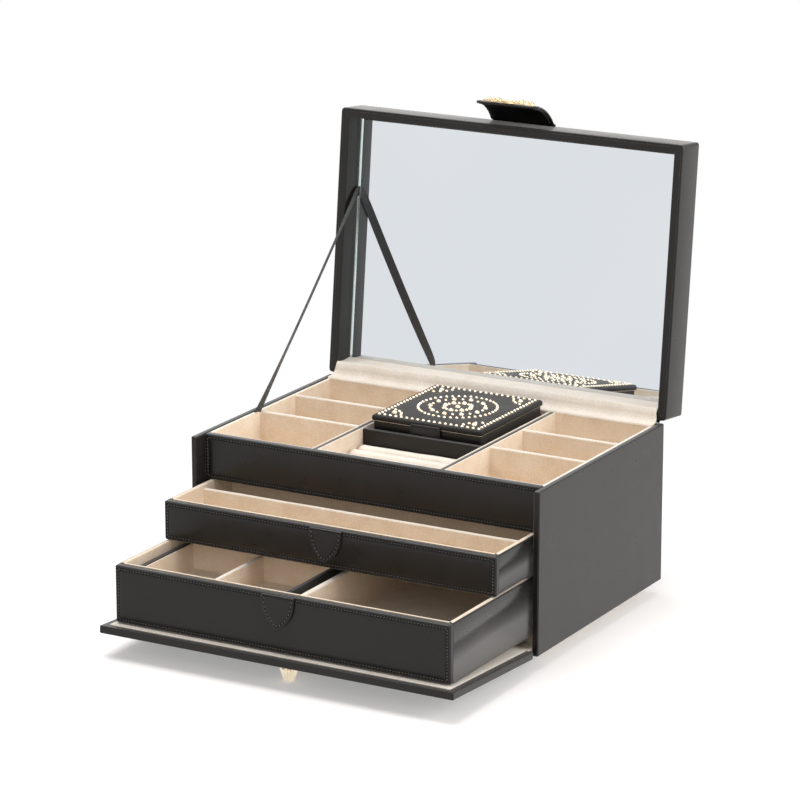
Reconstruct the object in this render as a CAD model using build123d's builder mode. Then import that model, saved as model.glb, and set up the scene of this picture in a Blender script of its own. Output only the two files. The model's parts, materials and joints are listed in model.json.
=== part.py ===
from build123d import *
import os
from math import cos, pi, radians, sin

os.makedirs("parts", exist_ok=True)

# Tiered jewelry box, opened: +X to its right, -Y to its front, +Z up, in millimetres.
# The origin is on the table, under the middle of the opened box.

# Case
case_width = 300.0
case_depth = 210.0
case_height = 127.0
side_board = 5.0
back_board = 6.0
bottom_board = 5.0
board_round = 1.2
panel_round = 0.9
front_recess = 11.5
foot_height = 11.0
foot_radius = 9.0
foot_round = 1.5
foot_inset = 34.0
suede = 0.8
running_gap = 0.3
cut_over = 2.0

# Lid
lid_height = 30.6
lid_overhang = 5.0
lid_side_overhang = 1.0
lid_wall = 7.5
lid_top_board = 8.0
lid_gap = 1.6
lid_open_angle = 96.0
lid_round = 2.2
mirror_thickness = 3.0
mirror_edge_gap = 0.2
mirror_bevel = 1.2
ledge_lining = 1.5

# Drop front
flap_board_thickness = 6.0
flap_lining_thickness = 0.6
flap_length = 124.0
flap_tilt = 3.2
flap_pivot_rise = 0.5
flap_end_gap = 0.6
flap_lining_side_inset = 5.6
flap_lining_front_inset = 5.0
flap_lining_start = 1.0
hinge_leather = 0.8
hinge_leaf = 15.0

# Lock stud on the drop front
stud_reach = 98.8
stud_foot_radius = 8.0
stud_foot_height = 1.4
stud_neck_radius = 3.6
stud_neck_height = 4.2
stud_shoulder_radius = 7.4
stud_tip_radius = 3.9
stud_flutes = 9
stud_flute_radius = 1.5

# Clasp on the lid
clasp_width = 56.4
clasp_tip_width = 54.0
clasp_thickness = 2.2
clasp_hold = 3.0
clasp_hold_corner = 2.4
clasp_curve_radius = 39.6
clasp_curve_angle = 53.0
clasp_fold_gap = 0.1
clasp_corner = 3.5
plate_width = 48.0
plate_thickness = 1.6
plate_gap = 0.1
plate_start_angle = 26.0
plate_end_angle = 2.0
plate_hole_radius = 4.2
plate_rim = 2.8
plate_lobe_radius = 4.4

# Drawers
drawer_width = 284.0
drawer_front = 5.0
drawer_wall = 4.0
drawer_floor = 3.0
drawer_rear_gap = 1.5
lower_front_height = 44.72
lower_out = 131.5
shelf_board = 2.0
front_gap = 1.0
upper_front_height = 30.5
upper_out = 63.0
upper_divider_back = 49.0
upper_divider_pitch = 40.9
divider_thickness = 3.2
divider_drop = 2.5
divider_round_share = 0.45
tab_width = 27.0
tab_height = 25.0
tab_thickness = 1.8
tab_drop = 0.6
tab_shoulder_share = 0.3
tab_bow_share = 0.78

# Lower drawer's insides
well_drop = 6.5
centre_wall = 4.6
centre_wall_x = 2.2
insert_wall = 4.0
insert_side_room = 7.5
insert_length = 92.0
insert_depth = 22.0
insert_floor = 2.4
insert_gap = 0.4

# Upper tray
tray_floor_board = 3.0
tray_gap = 0.6
tray_panel = 6.0
tray_lining_front = 2.0
tray_lining_side = 2.6
tray_lining_back = 6.0
bay_lining = 0.9
tray_lining_drop = 0.4
bay_wall = 4.0
bay_wall_drop = 1.0
centre_bay_width = 106.0
centre_bay_x = 3.8
side_divider_front_y = 91.5
side_divider_rear_y = 145.0
side_divider_drop = 0.8
dock_wall_y = 86.5
dock_wall = 4.0
roll_count = 5
roll_height = 20.0
roll_gap = 0.4
roll_end_round = 2.5
roll_foot_share = 0.8

# Travel case that stands in the dock
mini_side_gap = 3.6
mini_end_gap = 2.25
mini_top = 136.0
mini_lid = 4.4
mini_lid_edge_gap = 0.5
mini_base_inset = 1.5
mini_wall = 3.0
mini_round = 1.6
mini_tab_width = 26.0
mini_tab_height = 13.0
mini_tab_thickness = 1.3
small_nail = 0.95
large_nail = 1.55
nail_border = 5.0
nail_pitch = 4.9
nail_base = 0.1
nail_ring_share = 0.71
star_share = 0.25
star_points = 8
corner_arc_share = 0.39

# Stay ribbon from the left side of the tray to the lid
stay_width = 7.0
stay_thickness = 0.8
stay_tail = 9.0
stay_case_y = 85.5
stay_lid_reach = 145.7
stay_lid_depth = 15.0

# Levels and places that follow
case_bottom = foot_height
rim_z = case_bottom + case_height
flap_thickness = flap_board_thickness + flap_lining_thickness
flap_tip_height = flap_thickness * cos(radians(flap_tilt)) + flap_length * sin(radians(flap_tilt))
lid_length = case_depth + lid_overhang
front_reach = flap_thickness + flap_length * cos(radians(flap_tilt))
lean = radians(lid_open_angle) - pi / 2
back_reach = case_depth + lid_length * sin(lean) + lid_height * cos(lean)
front_y = (front_reach - back_reach) / 2
back_y = front_y + case_depth
inner_x = case_width / 2 - side_board
inner_back_y = back_y - back_board
face_y = front_y + front_recess
hinge_z = rim_z + lid_gap

floor_top = case_bottom + bottom_board
deck_top = case_bottom + flap_pivot_rise + flap_tip_height
lower_z = deck_top + running_gap
lower_top = lower_z + lower_front_height
shelf_z = lower_top + running_gap
upper_z = lower_top + front_gap
upper_top = upper_z + upper_front_height
upper_box_z = shelf_z + shelf_board + running_gap
tray_z = upper_top + tray_gap
tray_top = tray_z + tray_floor_board
drawer_length = case_depth - back_board - front_recess - drawer_rear_gap

flap_plane = Plane(
    origin=(0, front_y - flap_thickness, case_bottom + flap_pivot_rise),
    x_dir=(1, 0, 0),
    z_dir=(0, sin(radians(flap_tilt)), cos(radians(flap_tilt))),
)
lid_plane = Plane(
    origin=(0, back_y, hinge_z),
    x_dir=(1, 0, 0),
    z_dir=(0, cos(lean), -sin(lean)),
)

# The travel case fills its dock, between the dock wall and the tray's back lining
dock_low = dock_wall_y + dock_wall
dock_high = case_depth - back_board - tray_lining_back
mini_width = centre_bay_width - 2 * bay_lining - 2 * mini_side_gap
mini_depth = dock_high - dock_low - 2 * mini_end_gap
mini_plane = Plane(origin=(centre_bay_x, front_y + (dock_low + dock_high) / 2, tray_top))


def save(name, label):
    """Label a finished piece and write it under the same name."""
    name.part.label = label
    export_step(name.part, f"parts/{label}.step")


def slab(plane, low, high):
    """Add a cuboid between two corners given in the plane's own directions."""
    with BuildSketch(plane.offset(low[2])) as outline:
        with Locations(((low[0] + high[0]) / 2, (low[1] + high[1]) / 2)):
            Rectangle(high[0] - low[0], high[1] - low[1])
    extrude(outline.sketch, amount=high[2] - low[2])


def hollow(plane, low, high):
    """Cut a cuboid between two corners given in the plane's own directions."""
    with BuildSketch(plane.offset(low[2])) as outline:
        with Locations(((low[0] + high[0]) / 2, (low[1] + high[1]) / 2)):
            Rectangle(high[0] - low[0], high[1] - low[1])
    extrude(outline.sketch, amount=high[2] - low[2], mode=Mode.SUBTRACT)


def board(label, plane, low, high, radius=0.0):
    """A leather-covered board with its edges eased all round."""
    with BuildPart() as piece:
        slab(plane, low, high)
        if radius:
            fillet(piece.edges(), radius)
    save(piece, label)


def liner(label, plane, low, high, left, right, front, back, floor):
    """A suede liner, open at the top, with its own thickness on each side."""
    with BuildPart() as piece:
        slab(plane, low, high)
        hollow(
            plane,
            (low[0] + left, low[1] + front, low[2] + floor),
            (high[0] - right, high[1] - back, high[2] + cut_over),
        )
    save(piece, label)


def divider_bars(label, plane, bars, radius):
    """Upright dividers that share one node, each with a rounded top."""
    with BuildPart() as piece:
        for low, high in bars:
            slab(plane, low, high)
        fillet(piece.edges().filter_by(Axis.X).group_by(Axis.Z)[-1], radius)
    save(piece, label)


ground = Plane.XY

# Case boards
board(
    "bottom_panel",
    ground,
    (-inner_x, front_y, case_bottom),
    (inner_x, inner_back_y, floor_top),
)
board(
    "side_panel_left",
    ground,
    (-case_width / 2, front_y, case_bottom),
    (-inner_x, back_y, rim_z),
    board_round,
)
board(
    "side_panel_right",
    ground,
    (inner_x, front_y, case_bottom),
    (case_width / 2, back_y, rim_z),
    board_round,
)
board(
    "back_panel",
    ground,
    (-inner_x, inner_back_y, case_bottom),
    (inner_x, back_y, rim_z),
)
board(
    "drawer_deck",
    ground,
    (-inner_x, face_y, floor_top),
    (inner_x, inner_back_y, deck_top),
)
board(
    "drawer_shelf",
    ground,
    (-inner_x, face_y + drawer_front + running_gap, shelf_z),
    (inner_x, inner_back_y, shelf_z + shelf_board),
)
board(
    "tray_floor",
    ground,
    (-inner_x, face_y + tray_panel, tray_z),
    (inner_x, inner_back_y, tray_top),
)
board(
    "tray_front_panel",
    ground,
    (-inner_x, face_y, tray_z),
    (inner_x, face_y + tray_panel, rim_z),
    panel_round,
)

# Feet, set in under the four corners
foot_x = case_width / 2 - foot_inset
foot_y = case_depth / 2 - foot_inset
with BuildPart() as feet:
    with BuildSketch(ground):
        with Locations((0, front_y + case_depth / 2)):
            with GridLocations(2 * foot_x, 2 * foot_y, 2, 2):
                Circle(foot_radius)
    extrude(amount=foot_height)
    fillet(feet.edges().group_by(Axis.Z)[0], foot_round)
save(feet, "feet")

# Upper tray: liners, walls with dark tops and dividers with suede tops
bay_left = centre_bay_x - centre_bay_width / 2
bay_right = centre_bay_x + centre_bay_width / 2
tray_front = face_y + tray_panel
liner_top = rim_z - tray_lining_drop
liner(
    "left_bay_lining",
    ground,
    (-inner_x, tray_front, tray_top),
    (bay_left - bay_wall, inner_back_y, liner_top),
    tray_lining_side,
    bay_lining,
    tray_lining_front,
    tray_lining_back,
    suede,
)
liner(
    "centre_bay_lining",
    ground,
    (bay_left, tray_front, tray_top),
    (bay_right, inner_back_y, liner_top),
    bay_lining,
    bay_lining,
    tray_lining_front,
    tray_lining_back,
    suede,
)
liner(
    "right_bay_lining",
    ground,
    (bay_right + bay_wall, tray_front, tray_top),
    (inner_x, inner_back_y, liner_top),
    bay_lining,
    tray_lining_side,
    tray_lining_front,
    tray_lining_back,
    suede,
)
for label, wall_x in (("bay_wall_left", bay_left - bay_wall), ("bay_wall_right", bay_right)):
    board(
        label,
        ground,
        (wall_x, tray_front, tray_top),
        (wall_x + bay_wall, inner_back_y, rim_z - bay_wall_drop),
    )

divider_round = divider_thickness * divider_round_share
side_bays = (
    ("left_dividers", -inner_x + tray_lining_side, bay_left - bay_wall - bay_lining),
    ("right_dividers", bay_right + bay_wall + bay_lining, inner_x - tray_lining_side),
)
for label, low_x, high_x in side_bays:
    bars = []
    for middle in (side_divider_front_y, side_divider_rear_y):
        bars.append((
            (low_x, front_y + middle - divider_thickness / 2, tray_top + suede),
            (high_x, front_y + middle + divider_thickness / 2, rim_z - side_divider_drop),
        ))
    divider_bars(label, ground, bars, divider_round)

dock_face_y = front_y + dock_wall_y
board(
    "dock_wall",
    ground,
    (bay_left + bay_lining, dock_face_y, tray_top + suede),
    (bay_right - bay_lining, dock_face_y + dock_wall, rim_z - bay_wall_drop),
    panel_round,
)

# Ring rolls: upright pads with round crowns and sides drawn in towards the floor
roll_room = dock_face_y - tray_front - tray_lining_front
roll_pitch = roll_room / roll_count
roll_width = roll_pitch - roll_gap
roll_radius = roll_width / 2
roll_x = centre_bay_width / 2 - bay_lining - roll_gap
with BuildPart() as ring_rolls:
    for index in range(roll_count):
        middle = tray_front + tray_lining_front + (index + 0.5) * roll_pitch
        with BuildSketch(Plane(
            origin=(centre_bay_x - roll_x, middle, tray_top + suede),
            x_dir=(0, 1, 0),
            z_dir=(1, 0, 0),
        )):
            with BuildLine():
                foot = roll_radius * roll_foot_share
                spring = roll_height - roll_radius
                Line((-foot, 0), (foot, 0))
                Line((foot, 0), (roll_radius, spring))
                ThreePointArc((roll_radius, spring), (0, roll_height), (-roll_radius, spring))
                Line((-roll_radius, spring), (-foot, 0))
            make_face()
        extrude(amount=2 * roll_x)
    crowns = ring_rolls.edges().filter_by(GeomType.CIRCLE)
    fillet(crowns, roll_end_round)
save(ring_rolls, "ring_rolls")

# Suede over the back ledge of the tray, turned up against the lid
ledge_front_y = inner_back_y - tray_lining_back
with BuildPart() as lid_hinge_lining:
    slab(
        ground,
        (-inner_x, ledge_front_y, rim_z),
        (inner_x, back_y - ledge_lining, rim_z + suede),
    )
    slab(
        ground,
        (-inner_x, back_y - suede - ledge_lining, rim_z),
        (inner_x, back_y - ledge_lining, rim_z + lid_gap + lid_wall / 2),
    )
save(lid_hinge_lining, "lid_hinge_lining")

# Leather hinge outside, from the back of the case to the back wall of the lid
with BuildPart() as lid_hinge_strip:
    slab(
        ground,
        (-inner_x, back_y, rim_z - hinge_leaf),
        (inner_x, back_y + hinge_leather, hinge_z - hinge_leather / 2),
    )
    slab(
        lid_plane,
        (-inner_x, 0, hinge_leather / 4),
        (inner_x, hinge_leather, hinge_leaf),
    )
save(lid_hinge_strip, "lid_hinge_strip")

# Stay ribbon: a tail on the tray's side, a free run and a tail on the lid's side
stay_x = -inner_x + tray_lining_side
lid_out = (sin(lean), cos(lean))
lid_in = (cos(lean), -sin(lean))
stay_top_y = back_y + stay_lid_reach * lid_out[0] + stay_lid_depth * lid_in[0]
stay_top_z = hinge_z + stay_lid_reach * lid_out[1] + stay_lid_depth * lid_in[1]
stay_foot_y = front_y + stay_case_y
half_stay = stay_width / 2
with BuildPart() as lid_stay:
    with BuildSketch(Plane(origin=(stay_x, 0, 0), x_dir=(0, 1, 0), z_dir=(1, 0, 0))):
        with BuildLine():
            Polyline(
                (stay_foot_y - half_stay, rim_z - stay_tail),
                (stay_foot_y + half_stay, rim_z - stay_tail),
                (stay_foot_y + half_stay, rim_z),
                (stay_top_y + half_stay, stay_top_z - half_stay),
                (
                    stay_top_y + half_stay + stay_tail * lid_out[0],
                    stay_top_z - half_stay + stay_tail * lid_out[1],
                ),
                (
                    stay_top_y - half_stay + stay_tail * lid_out[0],
                    stay_top_z + half_stay + stay_tail * lid_out[1],
                ),
                (stay_top_y - half_stay, stay_top_z + half_stay),
                (stay_foot_y - half_stay, rim_z),
                close=True,
            )
        make_face()
    extrude(amount=stay_thickness)
save(lid_stay, "lid_stay")

# Lid: a top board and four walls that meet in mitres
board_w = lid_height - lid_top_board
half_lid = case_width / 2 + lid_side_overhang
inner_lid_x = half_lid - lid_wall
with BuildPart() as lid_top:
    slab(lid_plane, (-half_lid, -lid_length, board_w), (half_lid, 0, lid_height))
    upright = lid_top.edges().filter_by(Axis(lid_plane.origin, lid_plane.z_dir))
    fillet(upright, lid_round)
    outer = lid_top.faces().sort_by(Axis(lid_plane.origin, lid_plane.z_dir))[-1]
    fillet(outer.edges(), lid_round)
save(lid_top, "lid_top_board")


def lid_side(label, corners):
    """One mitred wall of the lid, between its rim and the top board."""
    with BuildPart() as piece:
        with BuildSketch(lid_plane):
            with BuildLine():
                Polyline(*corners, close=True)
            make_face()
        extrude(amount=board_w)
    save(piece, label)


lid_side("lid_front_wall", (
    (-half_lid, -lid_length),
    (half_lid, -lid_length),
    (inner_lid_x, -lid_length + lid_wall),
    (-inner_lid_x, -lid_length + lid_wall),
))
lid_side("lid_back_wall", (
    (-half_lid, 0),
    (half_lid, 0),
    (inner_lid_x, -lid_wall),
    (-inner_lid_x, -lid_wall),
))
lid_side("lid_left_wall", (
    (-half_lid, -lid_length),
    (-half_lid, 0),
    (-inner_lid_x, -lid_wall),
    (-inner_lid_x, -lid_length + lid_wall),
))
lid_side("lid_right_wall", (
    (half_lid, -lid_length),
    (half_lid, 0),
    (inner_lid_x, -lid_wall),
    (inner_lid_x, -lid_length + lid_wall),
))

mirror_w = board_w - mirror_thickness
mirror_back_v = lid_wall + ledge_lining
with BuildPart() as mirror_glass:
    slab(
        lid_plane,
        (-inner_lid_x + mirror_edge_gap, -lid_length + lid_wall + mirror_edge_gap, mirror_w),
        (inner_lid_x - mirror_edge_gap, -lid_wall - mirror_edge_gap, board_w),
    )
    seen = mirror_glass.faces().sort_by(Axis(lid_plane.origin, lid_plane.z_dir))[0]
    chamfer(seen.edges(), mirror_bevel)
save(mirror_glass, "mirror_glass")

with BuildPart() as lid_ledge_lining:
    slab(lid_plane, (-inner_lid_x, -mirror_back_v, 0), (inner_lid_x, -lid_wall, mirror_w))
    slab(lid_plane, (-inner_lid_x, -mirror_back_v, -suede), (inner_lid_x, -suede, 0))
    rim_edge = lid_ledge_lining.edges().filter_by(Axis.X).sort_by(
        Axis(lid_plane.origin, lid_plane.y_dir)
    ).group_by(Axis(lid_plane.origin, lid_plane.z_dir))[0][0]
    fillet(rim_edge, suede)
save(lid_ledge_lining, "lid_ledge_lining")

# Clasp: a leather tab on the lid's front wall, whose free tongue rises and bends level over the rim
side_view = Plane(origin=lid_plane.origin, x_dir=lid_plane.y_dir * -1, z_dir=(1, 0, 0))
front_view = Plane(
    origin=lid_plane.from_local_coords((0, -lid_length, 0)),
    x_dir=(-1, 0, 0),
    z_dir=lid_plane.y_dir * -1,
)
clasp_outer = clasp_curve_radius + clasp_thickness
plate_seat = clasp_outer + plate_gap
plate_outer = plate_seat + plate_thickness
clasp_turn = radians(clasp_curve_angle)
clasp_tail = lid_height - lid_round
clasp_leaf_end = clasp_tail - clasp_hold
clasp_root = clasp_leaf_end - clasp_thickness * sin(clasp_turn) - clasp_fold_gap


def on_curve(radius, angle):
    """A point on the tongue's bend, in the lid's own side view."""
    turn = radians(angle)
    return (
        lid_length + clasp_fold_gap - clasp_curve_radius * cos(clasp_turn) + radius * cos(turn),
        clasp_curve_radius * sin(clasp_turn) - clasp_root - radius * sin(turn),
    )


def bent_strip(under, upper, start, end, width):
    """Add a strip that follows the bend between two angles."""
    with BuildSketch(side_view) as outline:
        with BuildLine():
            ThreePointArc(
                on_curve(under, start),
                on_curve(under, (start + end) / 2),
                on_curve(under, end),
            )
            Line(on_curve(under, end), on_curve(upper, end))
            ThreePointArc(
                on_curve(upper, end),
                on_curve(upper, (start + end) / 2),
                on_curve(upper, start),
            )
            Line(on_curve(upper, start), on_curve(under, start))
        make_face()
    extrude(outline.sketch, amount=width / 2, both=True)


with BuildPart() as clasp_base:
    slab(
        front_view,
        (-clasp_width / 2, -clasp_tail, 0),
        (clasp_width / 2, -clasp_leaf_end, clasp_thickness),
    )
    upper_corners = clasp_base.edges().filter_by(
        Axis(front_view.origin, front_view.z_dir)
    ).group_by(Axis(front_view.origin, front_view.y_dir))[0]
    fillet(upper_corners, clasp_hold_corner)
save(clasp_base, "clasp_base")

tongue_tail = on_curve(clasp_outer, clasp_curve_angle)[1]
tongue_tip = on_curve(clasp_outer, 0)[1]
with BuildPart() as clasp_tongue:
    bent_strip(clasp_curve_radius, clasp_outer, clasp_curve_angle, 0, clasp_width)
    with BuildSketch(front_view) as tongue_outline:
        with BuildLine():
            Polyline(
                (-clasp_width / 2, tongue_tail),
                (clasp_width / 2, tongue_tail),
                (clasp_tip_width / 2, tongue_tip),
                (-clasp_tip_width / 2, tongue_tip),
                close=True,
            )
        make_face()
        fillet(tongue_outline.vertices().group_by(Axis.Y)[-1], clasp_corner)
    extrude(amount=clasp_curve_radius, mode=Mode.INTERSECT)
save(clasp_tongue, "clasp_tongue")

# The plate's outline is a round lobe with the stud's hole, between two smaller pairs
plate_middle = (plate_start_angle + plate_end_angle) / 2
plate_centre_y = on_curve(plate_outer, plate_middle)[1]
with BuildPart() as clasp_plate:
    bent_strip(plate_seat, plate_outer, plate_start_angle, plate_end_angle, plate_width)
    with BuildSketch(front_view):
        with Locations((0, plate_centre_y)):
            Circle(plate_hole_radius + plate_rim)
            with GridLocations(plate_width - 2 * plate_lobe_radius, plate_lobe_radius * 1.5, 2, 2):
                Circle(plate_lobe_radius)
            Rectangle(plate_width - 3 * plate_lobe_radius, plate_lobe_radius * 2)
            Circle(plate_hole_radius, mode=Mode.SUBTRACT)
    extrude(amount=clasp_curve_radius, mode=Mode.INTERSECT)
save(clasp_plate, "clasp_plate")

# Drop front: board, suede lining and lock stud, in the plane of its underside
board(
    "flap_board",
    flap_plane,
    (-case_width / 2, -flap_length, 0),
    (case_width / 2, -flap_end_gap, flap_board_thickness),
    panel_round,
)
with BuildPart() as flap_lining:
    slab(
        flap_plane,
        (
            -case_width / 2 + flap_lining_side_inset,
            -flap_length + flap_lining_front_inset,
            flap_board_thickness,
        ),
        (case_width / 2 - flap_lining_side_inset, -flap_lining_start, flap_thickness),
    )
save(flap_lining, "flap_lining")

stud_height = (
    case_bottom + flap_pivot_rise + (stud_reach - stud_tip_radius) * sin(radians(flap_tilt))
) / cos(radians(flap_tilt))
stud_shoulder = stud_foot_height + stud_neck_height
stud_view = Plane(
    origin=flap_plane.from_local_coords((0, -stud_reach, 0)),
    x_dir=(1, 0, 0),
    z_dir=flap_plane.y_dir,
)
stud_plane = Plane(
    origin=flap_plane.from_local_coords((0, -stud_reach, 0)),
    x_dir=(1, 0, 0),
    z_dir=flap_plane.z_dir * -1,
)
with BuildPart() as lock_stud:
    with BuildSketch(stud_view):
        with BuildLine():
            Polyline(
                (0, 0),
                (stud_foot_radius, 0),
                (stud_foot_radius, stud_foot_height),
                (stud_neck_radius, stud_foot_height),
                (stud_neck_radius, stud_shoulder),
                (stud_shoulder_radius, stud_shoulder + stud_flute_radius),
                (stud_tip_radius, stud_height),
                (0, stud_height),
                close=True,
            )
        make_face()
    revolve(axis=Axis(stud_plane.origin, stud_plane.z_dir))
    for index in range(stud_flutes):
        turn = 2 * pi * index / stud_flutes
        outward = Vector(cos(turn), sin(turn), 0)
        root = stud_plane.from_local_coords(
            outward * (stud_shoulder_radius + stud_flute_radius / 2) + Vector(0, 0, stud_shoulder)
        )
        tip = stud_plane.from_local_coords(
            outward * (stud_tip_radius + stud_flute_radius / 2) + Vector(0, 0, stud_height + cut_over)
        )
        with BuildSketch(Plane(origin=root, z_dir=tip - root)):
            Circle(stud_flute_radius)
        extrude(amount=(tip - root).length, mode=Mode.SUBTRACT)
save(lock_stud, "lock_stud")

# Leather hinge under the drop front, and the suede that bridges it inside
with BuildPart() as flap_hinge_strip:
    slab(
        ground,
        (-inner_x, front_y - flap_thickness - flap_end_gap, case_bottom - hinge_leather),
        (inner_x, front_y + hinge_leaf, case_bottom),
    )
    slab(flap_plane, (-inner_x, -hinge_leaf, -hinge_leather), (inner_x, 0, 0))
save(flap_hinge_strip, "flap_hinge_strip")

flap_back_top = flap_plane.from_local_coords((0, -flap_end_gap, flap_board_thickness))
with BuildPart() as flap_hinge_lining:
    slab(
        ground,
        (-inner_x + flap_end_gap, flap_back_top.Y + running_gap, floor_top),
        (inner_x - flap_end_gap, face_y, floor_top + flap_lining_thickness),
    )
save(flap_hinge_lining, "flap_hinge_lining")


def drawer_box(label, face, low_z, high_z):
    """The open box behind a drawer's front."""
    with BuildPart() as piece:
        slab(
            ground,
            (-drawer_width / 2, face + drawer_front, low_z),
            (drawer_width / 2, face + drawer_length, high_z),
        )
        hollow(
            ground,
            (-drawer_width / 2 + drawer_wall, face + drawer_front - cut_over, low_z + drawer_floor),
            (drawer_width / 2 - drawer_wall, face + drawer_length - drawer_wall, high_z + cut_over),
        )
        rims = piece.edges().filter_by(Axis.Z, reverse=True).group_by(Axis.Z)[-1]
        fillet(rims.filter_by(Axis.Y), panel_round)
    save(piece, label)


def pull_tab(label, face, top_z):
    """A shield of leather that hangs on a drawer's front."""
    with BuildPart() as piece:
        with BuildSketch(Plane(origin=(0, face, top_z - tab_drop), x_dir=(1, 0, 0), z_dir=(0, -1, 0))):
            with BuildLine():
                half = tab_width / 2
                shoulder = -tab_height * tab_shoulder_share
                Line((-half, 0), (half, 0))
                Line((half, 0), (half, shoulder))
                ThreePointArc(
                    (half, shoulder),
                    (half * tab_bow_share, (shoulder - tab_height) / 2),
                    (0, -tab_height),
                )
                ThreePointArc(
                    (0, -tab_height),
                    (-half * tab_bow_share, (shoulder - tab_height) / 2),
                    (-half, shoulder),
                )
                Line((-half, shoulder), (-half, 0))
            make_face()
        extrude(amount=tab_thickness)
    save(piece, label)


# Upper drawer
upper_face = face_y - upper_out
board(
    "upper_front",
    ground,
    (-drawer_width / 2, upper_face, upper_z),
    (drawer_width / 2, upper_face + drawer_front, upper_top),
    panel_round,
)
drawer_box("upper_box", upper_face, upper_box_z, upper_top)
pull_tab("upper_pull", upper_face, upper_top)
well_x = drawer_width / 2 - drawer_wall
upper_well_front = upper_face + drawer_front
upper_well_back = upper_face + drawer_length - drawer_wall
upper_well_floor = upper_box_z + drawer_floor
liner(
    "upper_lining",
    ground,
    (-well_x, upper_well_front, upper_well_floor),
    (well_x, upper_well_back, upper_top - panel_round),
    suede,
    suede,
    suede,
    suede,
    suede,
)
upper_divider_y = upper_face + upper_divider_back
divider_bars(
    "upper_divider",
    ground,
    [
        (
            (-well_x + suede, bar_y, upper_well_floor + suede),
            (well_x - suede, bar_y + divider_thickness, upper_top - divider_drop),
        )
        for bar_y in (upper_divider_y, upper_divider_y + upper_divider_pitch)
    ],
    divider_round,
)

# Lower drawer
lower_face = face_y - lower_out
board(
    "lower_front",
    ground,
    (-drawer_width / 2, lower_face, lower_z),
    (drawer_width / 2, lower_face + drawer_front, lower_top),
    panel_round,
)
drawer_box("lower_box", lower_face, lower_z, lower_top)
pull_tab("lower_pull", lower_face, lower_top)
lower_well_front = lower_face + drawer_front
lower_well_back = lower_face + drawer_length - drawer_wall
lower_well_floor = lower_z + drawer_floor
liner(
    "lower_lining",
    ground,
    (-well_x, lower_well_front, lower_well_floor),
    (well_x, lower_well_back, lower_top - panel_round),
    suede,
    suede,
    suede,
    suede,
    suede,
)
lower_floor = lower_well_floor + suede
board(
    "centre_wall",
    ground,
    (centre_wall_x, lower_well_front + suede, lower_floor),
    (centre_wall_x + centre_wall, lower_well_back - suede, lower_top - well_drop),
    panel_round,
)

# Lift-out tray in the lower drawer's left half, standing on its own walls
insert_left = -well_x + suede + insert_gap
insert_right = centre_wall_x - insert_side_room
insert_front = lower_well_front + suede + insert_gap
insert_back = insert_front + insert_length
insert_top = lower_top - well_drop
insert_well = insert_top - insert_depth
with BuildPart() as insert_tray:
    slab(ground, (insert_left, insert_front, lower_floor), (insert_right, insert_back, insert_top))
    hollow(
        ground,
        (insert_left + insert_wall, insert_front + insert_wall, insert_well),
        (insert_right - insert_wall, insert_back - insert_wall, insert_top + cut_over),
    )
    hollow(
        ground,
        (insert_left + insert_wall, insert_front + insert_wall, lower_floor - cut_over),
        (insert_right - insert_wall, insert_back - insert_wall, insert_well - insert_floor),
    )
save(insert_tray, "insert_tray")
liner(
    "insert_lining",
    ground,
    (insert_left + insert_wall, insert_front + insert_wall, insert_well),
    (insert_right - insert_wall, insert_back - insert_wall, insert_top - suede),
    suede,
    suede,
    suede,
    suede,
    suede,
)
insert_middle = (insert_left + insert_right) / 2
with BuildPart() as insert_divider:
    slab(
        ground,
        (
            insert_middle - divider_thickness / 2,
            insert_front + insert_wall + suede,
            insert_well + suede,
        ),
        (
            insert_middle + divider_thickness / 2,
            insert_back - insert_wall - suede,
            insert_top - suede,
        ),
    )
    fillet(insert_divider.edges().filter_by(Axis.Y).group_by(Axis.Z)[-1], divider_round)
save(insert_divider, "insert_divider")

# Travel case: box, liner, studded lid on a hinge at its back, and a closing tab
mini_lid_top = mini_top + case_bottom - tray_top
mini_lid_low = mini_lid_top - mini_lid
mini_floor = suede
mini_box_top = mini_lid_low - mini_lid_edge_gap
mini_x = mini_width / 2 - mini_base_inset
mini_half = mini_depth / 2 - mini_base_inset
with BuildPart() as mini_box:
    slab(mini_plane, (-mini_x, -mini_half, mini_floor), (mini_x, mini_half, mini_box_top))
    fillet(mini_box.edges().filter_by(Axis.Z), mini_round)
    hollow(
        mini_plane,
        (-mini_x + mini_wall, -mini_half + mini_wall, mini_floor + mini_wall),
        (mini_x - mini_wall, mini_half - mini_wall, mini_box_top + cut_over),
    )
save(mini_box, "mini_box")
liner(
    "mini_lining",
    mini_plane,
    (-mini_x + mini_wall, -mini_half + mini_wall, mini_floor + mini_wall),
    (mini_x - mini_wall, mini_half - mini_wall, mini_box_top),
    suede,
    suede,
    suede,
    suede,
    suede,
)
with BuildPart() as mini_lid_board:
    slab(
        mini_plane,
        (-mini_width / 2, -mini_depth / 2, mini_lid_low),
        (mini_width / 2, mini_depth / 2, mini_lid_top),
    )
    fillet(mini_lid_board.edges().filter_by(Axis.Z), mini_round)
    fillet(mini_lid_board.faces().sort_by(Axis.Z)[-1].edges(), mini_round)
save(mini_lid_board, "mini_lid")
with BuildPart() as mini_tab:
    tab_top = mini_lid_low + mini_lid / 2
    slab(
        mini_plane,
        (-mini_tab_width / 2, -mini_depth / 2 - mini_tab_thickness, tab_top - mini_tab_height),
        (mini_tab_width / 2, -mini_depth / 2, tab_top),
    )
    long_edges = mini_tab.edges().filter_by(Axis(mini_plane.origin, mini_plane.x_dir))
    fillet(long_edges, mini_tab_thickness / 3)
save(mini_tab, "mini_tab")

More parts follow.
